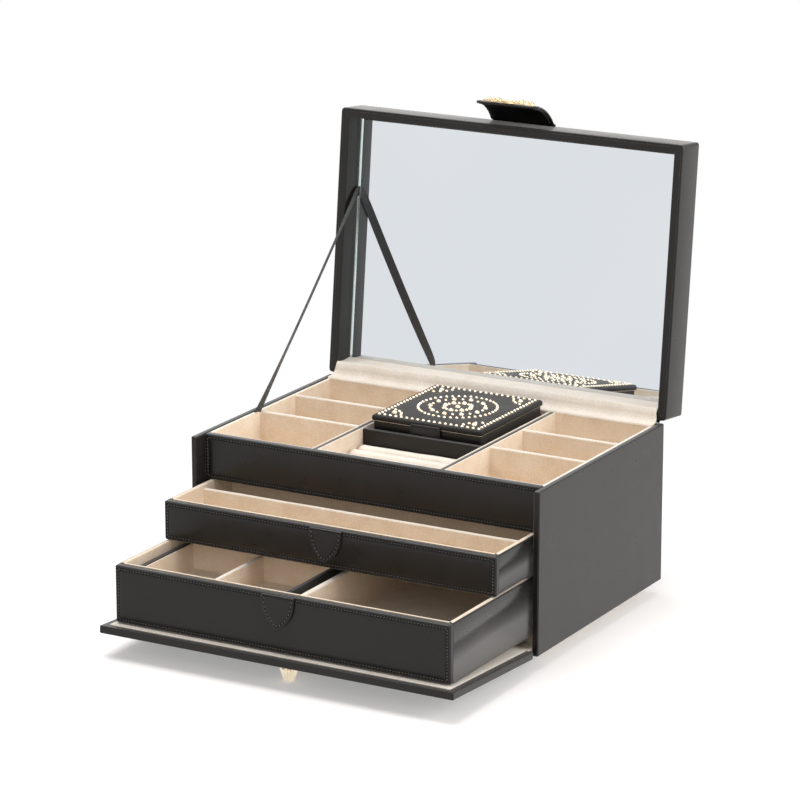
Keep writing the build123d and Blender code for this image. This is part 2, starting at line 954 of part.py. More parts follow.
# Domed nails on the travel case's lid: an edge row, two rings, four corner arcs and a star
nail_x = mini_width / 2 - nail_border
nail_y = mini_depth / 2 - nail_border
nail_half = min(nail_x, nail_y)
nail_ring_radius = nail_half * nail_ring_share
star_radius = nail_half * star_share
corner_arc_radius = nail_half * corner_arc_share
small_spots = []
large_spots = []
columns = round(2 * nail_x / nail_pitch)
rows = round(2 * nail_y / nail_pitch)
for index in range(columns + 1):
    spot_x = -nail_x + 2 * nail_x * index / columns
    small_spots += [(spot_x, -nail_y), (spot_x, nail_y)]
for index in range(1, rows):
    spot_y = -nail_y + 2 * nail_y * index / rows
    small_spots += [(-nail_x, spot_y), (nail_x, spot_y)]
for index in range(star_points):
    turn = 2 * pi * index / star_points
    large_spots.append((star_radius * cos(turn), star_radius * sin(turn)))
    half_turn = turn + pi / star_points
    small_spots.append((star_radius * cos(half_turn), star_radius * sin(half_turn)))
large_spots.append((0, 0))
ring_count = round(2 * pi * nail_ring_radius / nail_pitch)
for index in range(ring_count):
    turn = 2 * pi * index / ring_count
    small_spots.append((nail_ring_radius * cos(turn), nail_ring_radius * sin(turn)))
corner_count = round(pi / 2 * corner_arc_radius / nail_pitch)
for sign_x in (-1, 1):
    for sign_y in (-1, 1):
        large_spots.append((
            sign_x * (nail_x - corner_arc_radius / 2),
            sign_y * (nail_y - corner_arc_radius / 2),
        ))
        for index in range(1, corner_count):
            turn = pi / 2 * index / corner_count
            small_spots.append((
                sign_x * (nail_x - corner_arc_radius * cos(turn)),
                sign_y * (nail_y - corner_arc_radius * sin(turn)),
            ))
nail_plane = mini_plane.offset(mini_lid_top)
seated = (Align.CENTER, Align.CENTER, Align.MIN)
with BuildPart() as mini_nails:
    with BuildSketch(nail_plane):
        with Locations(small_spots):
            Circle(small_nail)
        with Locations(large_spots):
            Circle(large_nail)
    extrude(amount=nail_base)
    with Locations(nail_plane.offset(nail_base)):
        with Locations(small_spots):
            Sphere(small_nail, arc_size1=0, align=seated)
        with Locations(large_spots):
            Sphere(large_nail, arc_size1=0, align=seated)
save(mini_nails, "mini_nails")
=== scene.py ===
import json
from math import ceil, cos, pi, radians, sin

import bmesh
import bpy
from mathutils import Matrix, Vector, noise


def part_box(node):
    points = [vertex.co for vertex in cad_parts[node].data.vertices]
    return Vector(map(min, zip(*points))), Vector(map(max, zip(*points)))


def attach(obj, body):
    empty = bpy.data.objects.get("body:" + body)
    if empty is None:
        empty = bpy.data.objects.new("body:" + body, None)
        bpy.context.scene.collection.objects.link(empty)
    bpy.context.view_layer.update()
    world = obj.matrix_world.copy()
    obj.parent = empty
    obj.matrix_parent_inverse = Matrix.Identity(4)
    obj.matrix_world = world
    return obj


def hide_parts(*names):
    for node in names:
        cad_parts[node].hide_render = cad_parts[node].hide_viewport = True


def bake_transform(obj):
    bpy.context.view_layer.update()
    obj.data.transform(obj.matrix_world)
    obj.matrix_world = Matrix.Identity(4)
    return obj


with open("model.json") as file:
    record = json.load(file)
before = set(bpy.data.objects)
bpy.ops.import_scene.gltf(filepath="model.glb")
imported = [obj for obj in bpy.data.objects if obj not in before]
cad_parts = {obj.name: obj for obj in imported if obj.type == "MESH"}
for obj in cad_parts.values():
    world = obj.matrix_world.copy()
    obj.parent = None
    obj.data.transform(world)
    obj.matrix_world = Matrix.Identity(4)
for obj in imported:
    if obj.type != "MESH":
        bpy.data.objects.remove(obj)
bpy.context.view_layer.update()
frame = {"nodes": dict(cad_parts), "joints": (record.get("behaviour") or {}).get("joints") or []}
joints = {joint["name"]: joint for joint in frame["joints"]}
MM = 0.001
ACROSS = Vector((1, 0, 0))
FORWARD = Vector((0, -1, 0))

# Camera, solved on the photographed corners of the case and lid
CAMERA_PLACE = Vector((1.3800, -2.4585, 0.9602))
CAMERA_TARGET = Vector((0.0335, -0.0662, 0.1920))
CAMERA_LENS = 173.7
CAMERA_SENSOR = 36.0

# Stage: the shadows fade to white between two distances from the part
FLOOR_HALF = 30.0
FLOOR_COLOUR = (0.84, 0.81, 0.785, 1)
FADE_START = 0.29
FADE_END = 0.52
FLOOR_LIFT = 0.3
# How even the floor looks when the leather's sheen mirrors it
FLOOR_MIRRORED = 0.85
SKY_STRENGTH = 0.43
# Each lamp's name, place, height aimed at, side and power
LAMPS = (
    ("top_lamp", (-0.4, 0.1, 2.0), 0.1, 1.5, 35),
    ("front_lamp", (0.8, -2.3, 1.4), 0.15, 1.4, 9),
    ("side_lamp", (2.0, 0.3, 0.9), 0.15, 1.4, 25),
)

# The lid's own directions: v runs up from its hinge, w runs back from its rim
LID_HINGE = Vector(joints["lid_hinge"]["pos_m"])
LID_LEAN = radians(-joints["lid_hinge"]["range_deg"][0] - 90)
LID_UP = Vector((0, sin(LID_LEAN), cos(LID_LEAN)))
LID_BACK = Vector((0, cos(LID_LEAN), -sin(LID_LEAN)))
LID_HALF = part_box("lid_top_board")[1].x
LID_LENGTH = 215.0 * MM
LID_HEIGHT = 30.6 * MM
LID_WALL = 7.5 * MM
RIM_INNER_ROUND = 0.9 * MM
RIM_OUTER_ROUND = 1.0 * MM
RIM_SEAM = 1.9 * MM
LID_BACK_ROUND = 2.4 * MM
LID_CORNER = 3.0 * MM
MITRE_GAP = 0.9 * MM
MITRE_OVERRUN = 0.3 * MM
MITRE_HALF = 0.22 * MM
MITRE_HEIGHT = 0.2 * MM
MIRROR_DEPTH = 19.6 * MM
MIRROR_THICK = 3.0 * MM
MIRROR_BEVEL = 2.0 * MM

# The hinge suede's course on the case: mm back from the tray's edge and up from its rim
HINGE_FOLD = ((0.2, -0.9), (0.8, 0.3), (2.6, 0.62), (6.2, 0.7), (8.6, 1.9), (10.2, 4.6), (11.0, 7.6))
HINGE_THICK = 0.9 * MM
HINGE_RIPPLE = 0.07 * MM
HINGE_RIPPLE_SCALE = 26
HINGE_LEATHER_THICK = 0.8 * MM

# The stay ribbon, from its foot in the left bay to its top on the lid
STAY_REACH = 145.7 * MM
STAY_DEPTH = 15.0 * MM
STAY_HALF = 3.7 * MM
STAY_THICK = 0.6 * MM
STAY_TAIL = 9.0 * MM
STAY_SAG = 1.2 * MM
STAY_STEPS = 90
STAY_TUCK = Vector((-1.1 * MM, 0, 0))
STAY_TWIST = radians(-22)

# The drop front's own directions: forward along the board and up off its underside
FLAP_PIVOT = Vector(joints["drop_front_hinge"]["pos_m"])
FLAP_TILT = radians(-joints["drop_front_hinge"]["range_deg"][0])
FLAP_OUT = Vector((0, -cos(FLAP_TILT), sin(FLAP_TILT)))
FLAP_UP = Vector((0, sin(FLAP_TILT), cos(FLAP_TILT)))
FLAP_BOARD = 6.0 * MM
FLAP_LINING = 0.6 * MM
FLAP_LEATHER = 0.8 * MM
FLAP_CORNER = 1.0 * MM

# The clasp's tongue rises from the lid's front wall and bends level
CLASP_ROOT = (Vector(joints["clasp_flex"]["pos_m"]) - LID_HINGE).dot(LID_BACK)
CLASP_BEND = 39.6 * MM
CLASP_THICK = 2.2 * MM
CLASP_SWEEP = radians(53)
CLASP_ROOT_HALF = 28.2 * MM
CLASP_TIP_HALF = 27.0 * MM
CLASP_ROOT_CORNER = 2.4 * MM
CLASP_TIP_CORNER = 4.5 * MM
CLASP_EDGE = 1.1 * MM
CLASP_SEAM = 2.4 * MM

# The clasp's metal plate, by its place on the bend, half its sides and its hole
PLATE_TURN = radians(11.4)
PLATE_HALF_X = 22.3 * MM
PLATE_HALF_S = 9.3 * MM
PLATE_THICK = 1.5 * MM
PLATE_SEAT = CLASP_THICK + 0.1 * MM
PLATE_HOLE = 4.2 * MM
PLATE_RING = 5.8 * MM
PLATE_TUBE = 0.9 * MM
PLATE_BEADS = 33
# Share of the way in to the hole and share of the thickness, ring by ring
PLATE_LEVELS = ((0, 0.0), (0, 0.6), (0.03, 0.9), (0.08, 1.0), (1, 1.0), (1, 0.0))
# The domes beside the ring, on both sides: across, up and radius in mm
PLATE_DOMES = (
    (10.4, 0, 2.9), (14.9, 0, 2.0), (18.2, 0, 2.3),
    (12.8, -4.3, 1.7), (17.0, -4.0, 1.5), (12.8, 4.3, 1.7), (17.0, 4.0, 1.5),
)

# Stitching
STITCH_PITCH = 2.5 * MM
STITCH_LENGTH = 1.6 * MM
STITCH_RADIUS = 0.4 * MM
STITCH_SLANT = radians(20)
STITCH_INSET = 2.7 * MM
GROOVE_HALF = 0.55 * MM
GROOVE_DEPTH = 0.3 * MM
# Place along the stitch, size and lift of each of its rings
STITCH_RINGS = ((-1, 0.35, -0.9), (-0.8, 0.85, 0.0), (0, 1, 0.45), (0.8, 0.85, 0.0), (1, 0.35, -0.9))

# Leather panels, pull tabs and suede liners
PANEL_EDGE = 1.3 * MM
PANEL_SWELL = 0.12 * MM
PULL_THICK = 1.9 * MM
PULL_EDGE = 0.7 * MM
PULL_SEAM = 1.9 * MM
PULL_CURL = 2.2 * MM
LINER_RISE = 0.55 * MM
LINER_COVE = 1.1 * MM
LINER_CORNER = 0.5 * MM
# The leather that shows outside a drawer's suede lip
LIP_MARGIN = 1.7 * MM
LIP_CORNER = 0.8 * MM
LIP_ROLL = 0.6
LIP_TOP = 0.45
# Mm in from the margin and up from the wall's top
LIP_PROFILE = ((0.0, 0.02), (0.0, 0.25), (0.12, 0.4), (0.35, LIP_TOP))

# Ring rolls
ROLL_STEPS = 56
ROLL_AROUND = 24
ROLL_END = 3.2 * MM
ROLL_SOFTNESS = 0.35 * MM

# The travel case's lid, tab and nails
TRAVEL_EDGE = 2.3 * MM
TRAVEL_CORNER = 2.6 * MM
TRAVEL_LINING_INSET = 0.9 * MM
NAIL_SCALE = 1.42
WREATH_NAILS = 20
WREATH_LARGE = 2.1 * MM
WREATH_SMALL = 1.3 * MM

CORNER_STEPS = 5
SHARPEST_CORNER = 0.15 * MM


def lid_point(x, v, w):
    """A point given in the lid's own directions."""
    return LID_HINGE + Vector((x, 0, 0)) + LID_UP * v + LID_BACK * w


def flap_point(x, forward, up):
    """A point given in the drop front's own directions."""
    return FLAP_PIVOT + Vector((x, 0, 0)) + FLAP_OUT * forward + FLAP_UP * up


def quarter_turns(steps):
    """Even angles from nothing to a right angle."""
    return [pi / 2 * step / steps for step in range(steps + 1)]


def full_turns(steps):
    """Even angles round a circle."""
    return [2 * pi * step / steps for step in range(steps)]


def grown(share, start, span):
    """Nothing up to the start, all beyond the span after it, and even between."""
    return min(max((share - start) / span, 0), 1)


def add_object(name, data):
    """A new object in the scene."""
    made = bpy.data.objects.new(name, data)
    bpy.context.scene.collection.objects.link(made)
    return made


# Materials
class Nodes:
    """The node tree of a material or a world, built up from nothing."""

    def __init__(self, owner):
        owner.use_nodes = True
        self.tree = owner.node_tree
        self.tree.nodes.clear()

    def node(self, kind, *plugs, **inputs):
        """A node with its sockets, in order or by name, linked to others or set to a value."""
        made = self.tree.nodes.new(kind)
        named = [(key.replace("_", " "), value) for key, value in inputs.items()]
        for key, value in (*enumerate(plugs), *named):
            if isinstance(value, bpy.types.Node):
                value = value.outputs[0]
            if isinstance(value, bpy.types.NodeSocket):
                self.tree.links.new(value, made.inputs[key])
            else:
                made.inputs[key].default_value = value
        return made

    def combine(self, operation, *terms):
        made = self.node("ShaderNodeMath", *terms)
        made.operation = operation
        return made

    def seen(self, paths):
        """1 where the camera, a mirror or glass looks, 0 where the light falls on other things."""
        looked_at = self.combine("MAXIMUM", paths["Is Camera Ray"], paths["Is Glossy Ray"])
        return self.combine("MAXIMUM", looked_at, paths["Is Transmission Ray"])


class Shader(Nodes):
    """A surface material whose textures follow the object's own coordinates."""

    def __init__(self, name, **values):
        self.material = bpy.data.materials.new(name)
        super().__init__(self.material)
        self.coords = self.node("ShaderNodeTexCoord").outputs["Object"]
        self.surface = self.node("ShaderNodeBsdfPrincipled", **values)
        self.node("ShaderNodeOutputMaterial", Surface=self.surface)

    def noise(self, scale, detail=2.0, roughness=0.5, stretch=None):
        coords = self.coords
        if stretch:
            coords = self.node("ShaderNodeMapping", Vector=coords, Scale=stretch)
        fineness = {"Scale": scale, "Detail": detail, "Roughness": roughness}
        return self.node("ShaderNodeTexNoise", Vector=coords, **fineness).outputs["Fac"]

    def cells(self, scale):
        return self.node("ShaderNodeTexVoronoi", Vector=self.coords, Scale=scale).outputs["Distance"]

    def ramp(self, value, *stops):
        made = self.node("ShaderNodeValToRGB", Fac=value)
        while len(made.color_ramp.elements) < len(stops):
            made.color_ramp.elements.new(0.5)
        for element, (place, colour) in zip(made.color_ramp.elements, stops):
            element.position = place
            element.color = (*colour, 1.0)
        return made.outputs["Color"]

    def span(self, value, low, high):
        """Stretch the middle of a noise over a range."""
        limits = {"From_Min": 0.3, "From_Max": 0.7, "To_Min": low, "To_Max": high}
        return self.node("ShaderNodeMapRange", Value=value, **limits)

    def multiply(self, first, second):
        """One colour times another, on the mix node's colour sockets."""
        made = self.node("ShaderNodeMix", 1.0)
        made.data_type = "RGBA"
        made.blend_type = "MULTIPLY"
        self.tree.links.new(first, made.inputs[6])
        self.tree.links.new(second, made.inputs[7])
        return made.outputs[2]

    def bump(self, height, strength, distance, **under):
        return self.node("ShaderNodeBump", Height=height, Strength=strength, Distance=distance, **under)

    def finish(self, colour, roughness, normal=None):
        for key, value in (("Base Color", colour), ("Roughness", roughness), ("Normal", normal)):
            if value:
                source = value.outputs[0] if isinstance(value, bpy.types.Node) else value
                self.tree.links.new(source, self.surface.inputs[key])
        return self.material


def leather(name, dark, light, smooth=0.27, rough=0.34, sheen=0.49, ior=1.39, grain=0.06):
    """Black calf leather: a fine grain, a semi-matt face and a pale bloom at a low angle."""
    tint = (1.0, 0.98, 0.96, 1.0)
    shade = Shader(name, IOR=ior, Sheen_Weight=sheen, Sheen_Roughness=0.34, Sheen_Tint=tint)
    colour = shade.ramp(shade.noise(30, 3.0, 0.5), (0.3, dark), (0.7, light))
    gloss = shade.span(shade.noise(60, 2.0), smooth, rough)
    pebbles = shade.bump(shade.cells(1400), grain, 0.06 * MM)
    pores = shade.bump(shade.noise(4200, 2.0), 0.05, 0.04 * MM, Normal=pebbles)
    return shade.finish(colour, gloss, pores)


def suede(name, shadow, middle, light):
    """Cream suede: brushed nap in soft patches and a fibrous, dull surface."""
    tint = (1.0, 0.97, 0.93, 1.0)
    shade = Shader(name, Sheen_Weight=0.4, Sheen_Roughness=0.5, Specular_IOR_Level=0.15, Sheen_Tint=tint)
    patches = shade.ramp(shade.noise(70, 4.0, 0.55), (0.25, shadow), (0.5, middle), (0.75, light))
    fibres = shade.ramp(shade.noise(1000, 4.0, 0.75), (0.36, (0.85, 0.83, 0.80)), (0.62, (1.0, 1.0, 1.0)))
    nap = shade.bump(shade.noise(2300, 3.0, 0.7), 0.55, 0.18 * MM)
    tufts = shade.bump(shade.noise(420, 4.0, 0.6), 0.25, 0.3 * MM, Normal=nap)
    gloss = shade.span(shade.noise(420, 4.0), 0.88, 1.0)
    return shade.finish(shade.multiply(patches, fibres), gloss, tufts)


def pale_gold(name, dark, light, smooth, rough):
    """Polished pale gold plate with faint rub marks."""
    shade = Shader(name, Metallic=1.0)
    colour = shade.ramp(shade.noise(160, 3.0), (0.3, dark), (0.7, light))
    gloss = shade.span(shade.noise(700, 4.0, 0.7, (1, 5, 1)), smooth, rough)
    marks = shade.bump(shade.noise(900, 3.0), 0.08, 0.05 * MM)
    return shade.finish(colour, gloss, marks)


def mirror(name, metallic, tint_noise, dark, light, gloss_scale, smooth, rough):
    """Silvered or ground glass, with a very faint change of tint and gloss."""
    shade = Shader(name, Metallic=metallic)
    colour = shade.ramp(shade.noise(*tint_noise), (0.3, dark), (0.7, light))
    return shade.finish(colour, shade.span(shade.noise(gloss_scale, 2.0), smooth, rough))


def ribbon_weave(name):
    """Black ribbon with fine cross ribs."""
    shade = Shader(name, Sheen_Weight=0.2, Sheen_Roughness=0.4)
    wave = shade.node("ShaderNodeTexWave", Vector=shade.coords, Scale=360.0, Distortion=0.6)
    wave.bands_direction = "Z"
    ribs = wave.outputs["Fac"]
    colour = shade.ramp(ribs, (0.2, (0.012, 0.012, 0.013)), (0.8, (0.030, 0.029, 0.029)))
    gloss = shade.span(shade.noise(500, 3.0), 0.45, 0.62)
    return shade.finish(colour, gloss, shade.bump(ribs, 0.4, 0.12 * MM))


def waxed_thread(name):
    """Black waxed thread, twisted, its dark grey colour a painted highlight, with a small real one from its
    gloss.
    """
    shade = Shader(name)
    colour = shade.ramp(shade.noise(900, 2.0), (0.3, (0.045, 0.043, 0.041)), (0.7, (0.12, 0.117, 0.112)))
    gloss = shade.span(shade.noise(1500, 2.0), 0.24, 0.38)
    return shade.finish(colour, gloss, shade.bump(shade.noise(5000, 1.0), 0.4, 0.05 * MM))


LEATHER = leather("black_leather", (0.0066, 0.0052, 0.0043), (0.0096, 0.0077, 0.0065))
LEATHER_SMOOTH = leather(
    "black_leather_sides", (0.0058, 0.005, 0.0044), (0.0086, 0.0076, 0.0068), 0.19, 0.25, 0.32
)
# A darker leather for the clasp tab's underside: painted shade.
LEATHER_SHADE_PAINTED = leather(
    "black_leather_painted_shade", (0.0022, 0.0018, 0.0014), (0.0036, 0.003, 0.0024), 0.5, 0.65, 0.0
)
# A paler black leather: a painted highlight on the panels' edges, the lid rim's seam and its mitres; also
# used whole on the bay walls, the insert tray and the hinge leathers.
LEATHER_PALER_AND_HIGHLIGHT = leather(
    "black_leather_paler_and_painted_highlight", (0.012, 0.0112, 0.0108), (0.022, 0.021, 0.020), 0.32, 0.44, 0.6
)
LEATHER_PEBBLED = leather(
    "black_leather_pebbled", (0.009, 0.0078, 0.0068), (0.02, 0.0175, 0.0155), 0.42, 0.55, 0.22, 1.27, 0.8
)
# Near-black leather in the stitch grooves: painted shade in the groove and between the stitches.
SEAM_PAINTED_SHADE = leather("seam_groove_painted_shade", (0.0018, 0.0016, 0.0015), (0.003, 0.0027, 0.0025), 0.7, 0.85, 0.0)
SUEDE = suede("cream_suede", (0.79, 0.635, 0.48), (0.85, 0.71, 0.56), (0.885, 0.77, 0.635))
# A paler copy of the cream suede, painted light from above: on the round tops of liners and bars, and on the
# whole of the ring rolls, the hinge suede and the drop front's suede.
SUEDE_PAINTED_TOPLIGHT = suede("cream_suede_painted_toplight", (0.83, 0.73, 0.62), (0.88, 0.80, 0.71), (0.91, 0.85, 0.78))
GOLD = pale_gold("pale_gold", (0.83, 0.69, 0.49), (0.95, 0.85, 0.68), 0.16, 0.34)
GOLD_DEEP = pale_gold("pale_gold_relief", (0.52, 0.36, 0.20), (0.80, 0.63, 0.41), 0.2, 0.36)
MIRROR = mirror("silvered_mirror", 1.0, (6, 1.0), (0.70, 0.735, 0.77), (0.725, 0.755, 0.785), 40, 0.0, 0.012)
MIRROR_EDGE = mirror(
    "ground_glass_edge", 0.85, (50, 2.0), (0.72, 0.84, 0.82), (0.82, 0.91, 0.89), 300, 0.05, 0.12
)
RIBBON = ribbon_weave("black_ribbon")
THREAD_PAINTED_HIGHLIGHT = waxed_thread("black_thread_painted_highlight")


# Mesh building
class Build:
    """Points and faces that are gathered before they become one piece."""

    def __init__(self):
        self.points = []
        self.faces = []
        self.marks = []
        self.start = 0
        self.count = 0

    def loft(self, rings, capped=True):
        """Join rings of equal count by four-sided faces, and close both ends with flat caps."""
        first = len(self.points)
        count = len(rings[0])
        self.start, self.count = len(self.faces), count
        for ring in rings:
            self.points.extend(ring)
        for low in range(first, first + (len(rings) - 1) * count, count):
            for index in range(count):
                after = (index + 1) % count
                self.faces.append((low + index, low + after, low + count + after, low + count + index))
        if capped:
            last = first + (len(rings) - 1) * count
            self.faces.append(tuple(reversed(range(first, first + count))))
            self.faces.append(tuple(range(last, last + count)))
        self.marks += [0] * (len(self.faces) - len(self.marks))

    def mark(self, levels, columns=None, material=1):
        """Give faces of the last loft, by their rings, another of the piece's materials."""
        for level in levels:
            for column in columns or range(self.count):
                self.marks[self.start + level * self.count + column] = material

    def piece(self, name, materials, slot, body=None, replaces=(), sharp=38):
        """Turn what was gathered into an object of the model."""
        mesh = bpy.data.meshes.new(name)
        mesh.from_pydata([tuple(point) for point in self.points], [], self.faces)
        for material in materials:
            mesh.materials.append(material)
        for polygon, mark in zip(mesh.polygons, self.marks):
            polygon.material_index = mark
        shell = bmesh.new()
        shell.from_mesh(mesh)
        bmesh.ops.recalc_face_normals(shell, faces=shell.faces)
        shell.to_mesh(mesh)
        shell.free()
        mesh.polygons.foreach_set("use_smooth", [True] * len(mesh.polygons))
        mesh.set_sharp_from_angle(angle=radians(sharp))
        made = add_object(name, mesh)
        if body:
            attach(made, body)
        if replaces:
            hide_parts(*replaces)
        return made


def rect_ring(box, inset, radius):
    """The points of a rounded rectangle drawn in from a flat box, in a fixed order."""
    x0, x1, y0, y1 = box[0] + inset, box[1] - inset, box[2] + inset, box[3] - inset
    ring = []
    centres = (
        (x1 - radius, y1 - radius),
        (x0 + radius, y1 - radius),
        (x0 + radius, y0 + radius),
        (x1 - radius, y0 + radius),
    )
    for corner, (centre_x, centre_y) in enumerate(centres):
        for step in range(CORNER_STEPS + 1):
            turn = radians(90 * corner + 90 * step / CORNER_STEPS)
            ring.append((centre_x + radius * cos(turn), centre_y + radius * sin(turn)))
    return ring


def inset_build(outer, corner, place, profile):
    """A solid through rounded rectangles, one for each inset and depth of a profile."""
    rings = []
    for inset, depth in profile:
        flat = rect_ring(outer, inset, max(corner - inset, SHARPEST_CORNER))
        rings.append([place(x, y, depth) for x, y in flat])
    build = Build()
    build.loft(rings)
    return build


def rounded_edge(radius, top, steps=4):
    """Inset and height along a rounded edge that ends level with the top."""
    return [(radius * (1 - cos(turn)), top - radius * (1 - sin(turn))) for turn in quarter_turns(steps)]


def solid_boxes(node):
    """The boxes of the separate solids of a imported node, lowest X first, then lowest Y."""
    mesh = frame["nodes"][node].data
    keys = [tuple(round(c, 6) for c in vertex.co) for vertex in mesh.vertices]
    owner = {key: key for key in keys}

    def root(key):
        while owner[key] != key:
            owner[key] = owner[owner[key]]
            key = owner[key]
        return key

    for polygon in mesh.polygons:
        base = root(keys[polygon.vertices[0]])
        for index in polygon.vertices[1:]:
            owner[root(keys[index])] = base
    groups = {}
    for key in owner:
        groups.setdefault(root(key), []).append(key)
    boxes = []
    for group in groups.values():
        low = Vector([min(key[axis] for key in group) for axis in range(3)])
        high = Vector([max(key[axis] for key in group) for axis in range(3)])
        boxes.append((low, high))
    return sorted(boxes, key=lambda box: (round(box[0].x, 4), round(box[0].y, 4)))


# Stitches
def add_stitches(build, start, end, outward):
    """Lay a row of slanted, rounded stitches between two points of a surface."""
    run = end - start
    count = max(1, round(run.length / STITCH_PITCH))
    along = run.normalized()
    side = outward.cross(along).normalized()
    direction = (along * cos(STITCH_SLANT) + side * sin(STITCH_SLANT)).normalized()
    across = outward.cross(direction).normalized()
    for index in range(count):
        middle = start + run * ((index + 0.5) / count)
        rings = []
        for share, size, lift in STITCH_RINGS:
            centre = middle + direction * (share * STITCH_LENGTH / 2) + outward * (lift * STITCH_RADIUS)
            offsets = [across * cos(turn) + outward * sin(turn) for turn in full_turns(6)]
            rings.append([centre + offset * (STITCH_RADIUS * size) for offset in offsets])
        build.loft(rings)


def stitched_line(build, points, spacing, outward):
    """Stitch along close points, a stitch for each stretch as long as the spacing."""
    start = points[0]
    for point in points[1:]:
        if (point - start).length >= spacing:
            add_stitches(build, start, point, outward)
            start = point


def stitched_panel(name, node, body):
    """A drawer front or tray panel: eased edges, a sunk seam and its stitches."""
    low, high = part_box(node)
    thick = high.y - low.y
    face = thick - PANEL_SWELL

    def place(x, z, depth):
        return Vector((x, high.y - depth, z))

    profile = [(PANEL_EDGE * 0.4, 0), (0, PANEL_EDGE * 0.4), (0, thick - PANEL_EDGE)]
    profile += rounded_edge(PANEL_EDGE, face)
    profile += [
        (STITCH_INSET - GROOVE_HALF * 1.8, face),
        (STITCH_INSET - GROOVE_HALF, face - GROOVE_DEPTH * 0.4),
        (STITCH_INSET, face - GROOVE_DEPTH),
        (STITCH_INSET + GROOVE_HALF, face - GROOVE_DEPTH * 0.4),
        (STITCH_INSET + GROOVE_HALF * 2.2, thick - PANEL_SWELL * 0.5),
        (STITCH_INSET + GROOVE_HALF * 8, thick),
    ]
    build = inset_build((low.x, high.x, low.z, high.z), PANEL_EDGE, place, profile)
    # The stitch groove's faces in the near-black leather: painted shade.
    build.mark(range(len(profile) - 6, len(profile) - 2))
    # The panel's side and rounded edge in the paler leather: a painted highlight.
    build.mark(range(1, 6), material=2)
    build.piece(name, [LEATHER, SEAM_PAINTED_SHADE, LEATHER_PALER_AND_HIGHLIGHT], "leather_black", body, [node])

    y = low.y + PANEL_SWELL + GROOVE_DEPTH * 0.55
    x0, x1 = low.x + STITCH_INSET, high.x - STITCH_INSET
    z0, z1 = low.z + STITCH_INSET, high.z - STITCH_INSET
    corners = [Vector((x, y, z)) for x, z in ((x0, z0), (x1, z0), (x1, z1), (x0, z1))]
    stitches = Build()
    for index, start in enumerate(corners):
        add_stitches(stitches, start, corners[(index + 1) % len(corners)], FORWARD)
    stitches.piece(name + "_stitches", [THREAD_PAINTED_HIGHLIGHT], "leather_black", body)


# Suede
def level_ring(box, inset, radius, height):
    """A level ring of points on a rounded rectangle."""
    return [Vector((x, y, height)) for x, y in rect_ring(box, inset, radius)]


def rounded_lip(ring, top, rise):
    """Rings over the plain, full round top of a liner's wall."""
    rings = [ring(0, top - rise, LINER_CORNER)]
    for step in range(1, 8):
        share = step / 8
        rings.append(ring((1 - cos(pi * share)) / 2, top - rise + rise * sin(pi * share), 0.6 * MM))
    return rings


def turned_lip(ring, top, wall):
    """Rings that carry a liner's suede out over the wall round it and back in."""
    low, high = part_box(wall)
    around = (low.x, high.x, low.y, high.y)
    seat = max(high.z, top - 0.3 * MM)
    rings = [ring(0, min(seat, top) - 0.1 * MM, LINER_CORNER)]
    for inset, height in LIP_PROFILE:
        rings.append(level_ring(around, LIP_MARGIN + inset * MM, LIP_CORNER, seat + height * MM))
    for turn in quarter_turns(3):
        height = seat + (LIP_TOP - LIP_ROLL * (1 - cos(turn))) * MM
        rings.append(ring(1, height, LIP_CORNER, -LIP_ROLL * MM * (1 - sin(turn))))
    return rings


def suede_liner(name, node, body, wall=None):
    """An open suede liner, rounded over at the top, that may turn out over the wall round it."""
    corners = [vertex.co for vertex in frame["nodes"][node].data.vertices]
    xs, ys, zs = [sorted({round(corner[axis], 6) for corner in corners}) for axis in range(3)]
    outer = (xs[0], xs[-1], ys[0], ys[-1])
    inner = (xs[1], xs[-2], ys[1], ys[-2])
    bottom, floor, top = zs[0], zs[1], zs[-1]
    rise = min(LINER_RISE, min(inner[0] - outer[0], outer[1] - inner[1]) * 0.5)

    def ring(share, height, radius, shrink=0.0):
        """A ring by its share of the way from the liner's outside to its inside."""
        box = [a + (b - a) * share for a, b in zip(outer, inner)]
        return level_ring(box, shrink, radius, height)

    rings = [ring(0, bottom, LINER_CORNER)]
    rings += turned_lip(ring, top, wall) if wall else rounded_lip(ring, top, rise)
    rings.append(ring(1, top - rise, LIP_CORNER))
    for turn in quarter_turns(4):
        shrink = LINER_COVE * (1 - cos(turn)) * 0.98
        rings.append(ring(1, floor + LINER_COVE * (1 - sin(turn)), 0.9 * MM, shrink))
    build = Build()
    build.loft(rings)
    # A plain liner's round top in the paler suede: painted light from above.
    if not wall:
        build.mark(range(2, 8))
    build.piece(name, [SUEDE, SUEDE_PAINTED_TOPLIGHT], "suede_cream", body, [node])


def suede_bar(build, low, high, along):
    """A suede-covered divider with a full round top, along X (0) or along Y (1)."""
    across = 1 - along
    middle = (low[across] + high[across]) / 2
    half = (high[across] - low[across]) / 2
    start, length, tall = low[along], high[along] - low[along], high.z - low.z
    waist = (low.z + high.z) / 2
    profile = [(-half * 0.92, low.z), (-half * 0.96, waist)]
    for step in range(13):
        turn = pi - pi * step / 12
        profile.append((half * cos(turn), high.z - half + half * sin(turn)))
    profile += [(half * 0.96, waist), (half * 0.92, low.z)]
    rings = []
    count = max(8, ceil(length / (6 * MM)))
    for index in range(count + 1):
        place = start + length * index / count
        wave = noise.noise(Vector((place * 45, middle * 60, 0.3))) * 0.18 * MM
        ring = []
        for offset, height in profile:
            lift = wave * max(0.0, (height - low.z) / tall)
            point = Vector((place, place, min(height + lift * 0.4, high.z)))
            point[across] = middle + offset + lift
            ring.append(point)
        rings.append(ring)
    build.loft(rings)
    # The bar's round top in the paler suede: painted light from above.
    build.mark(range(count), range(3, 13))


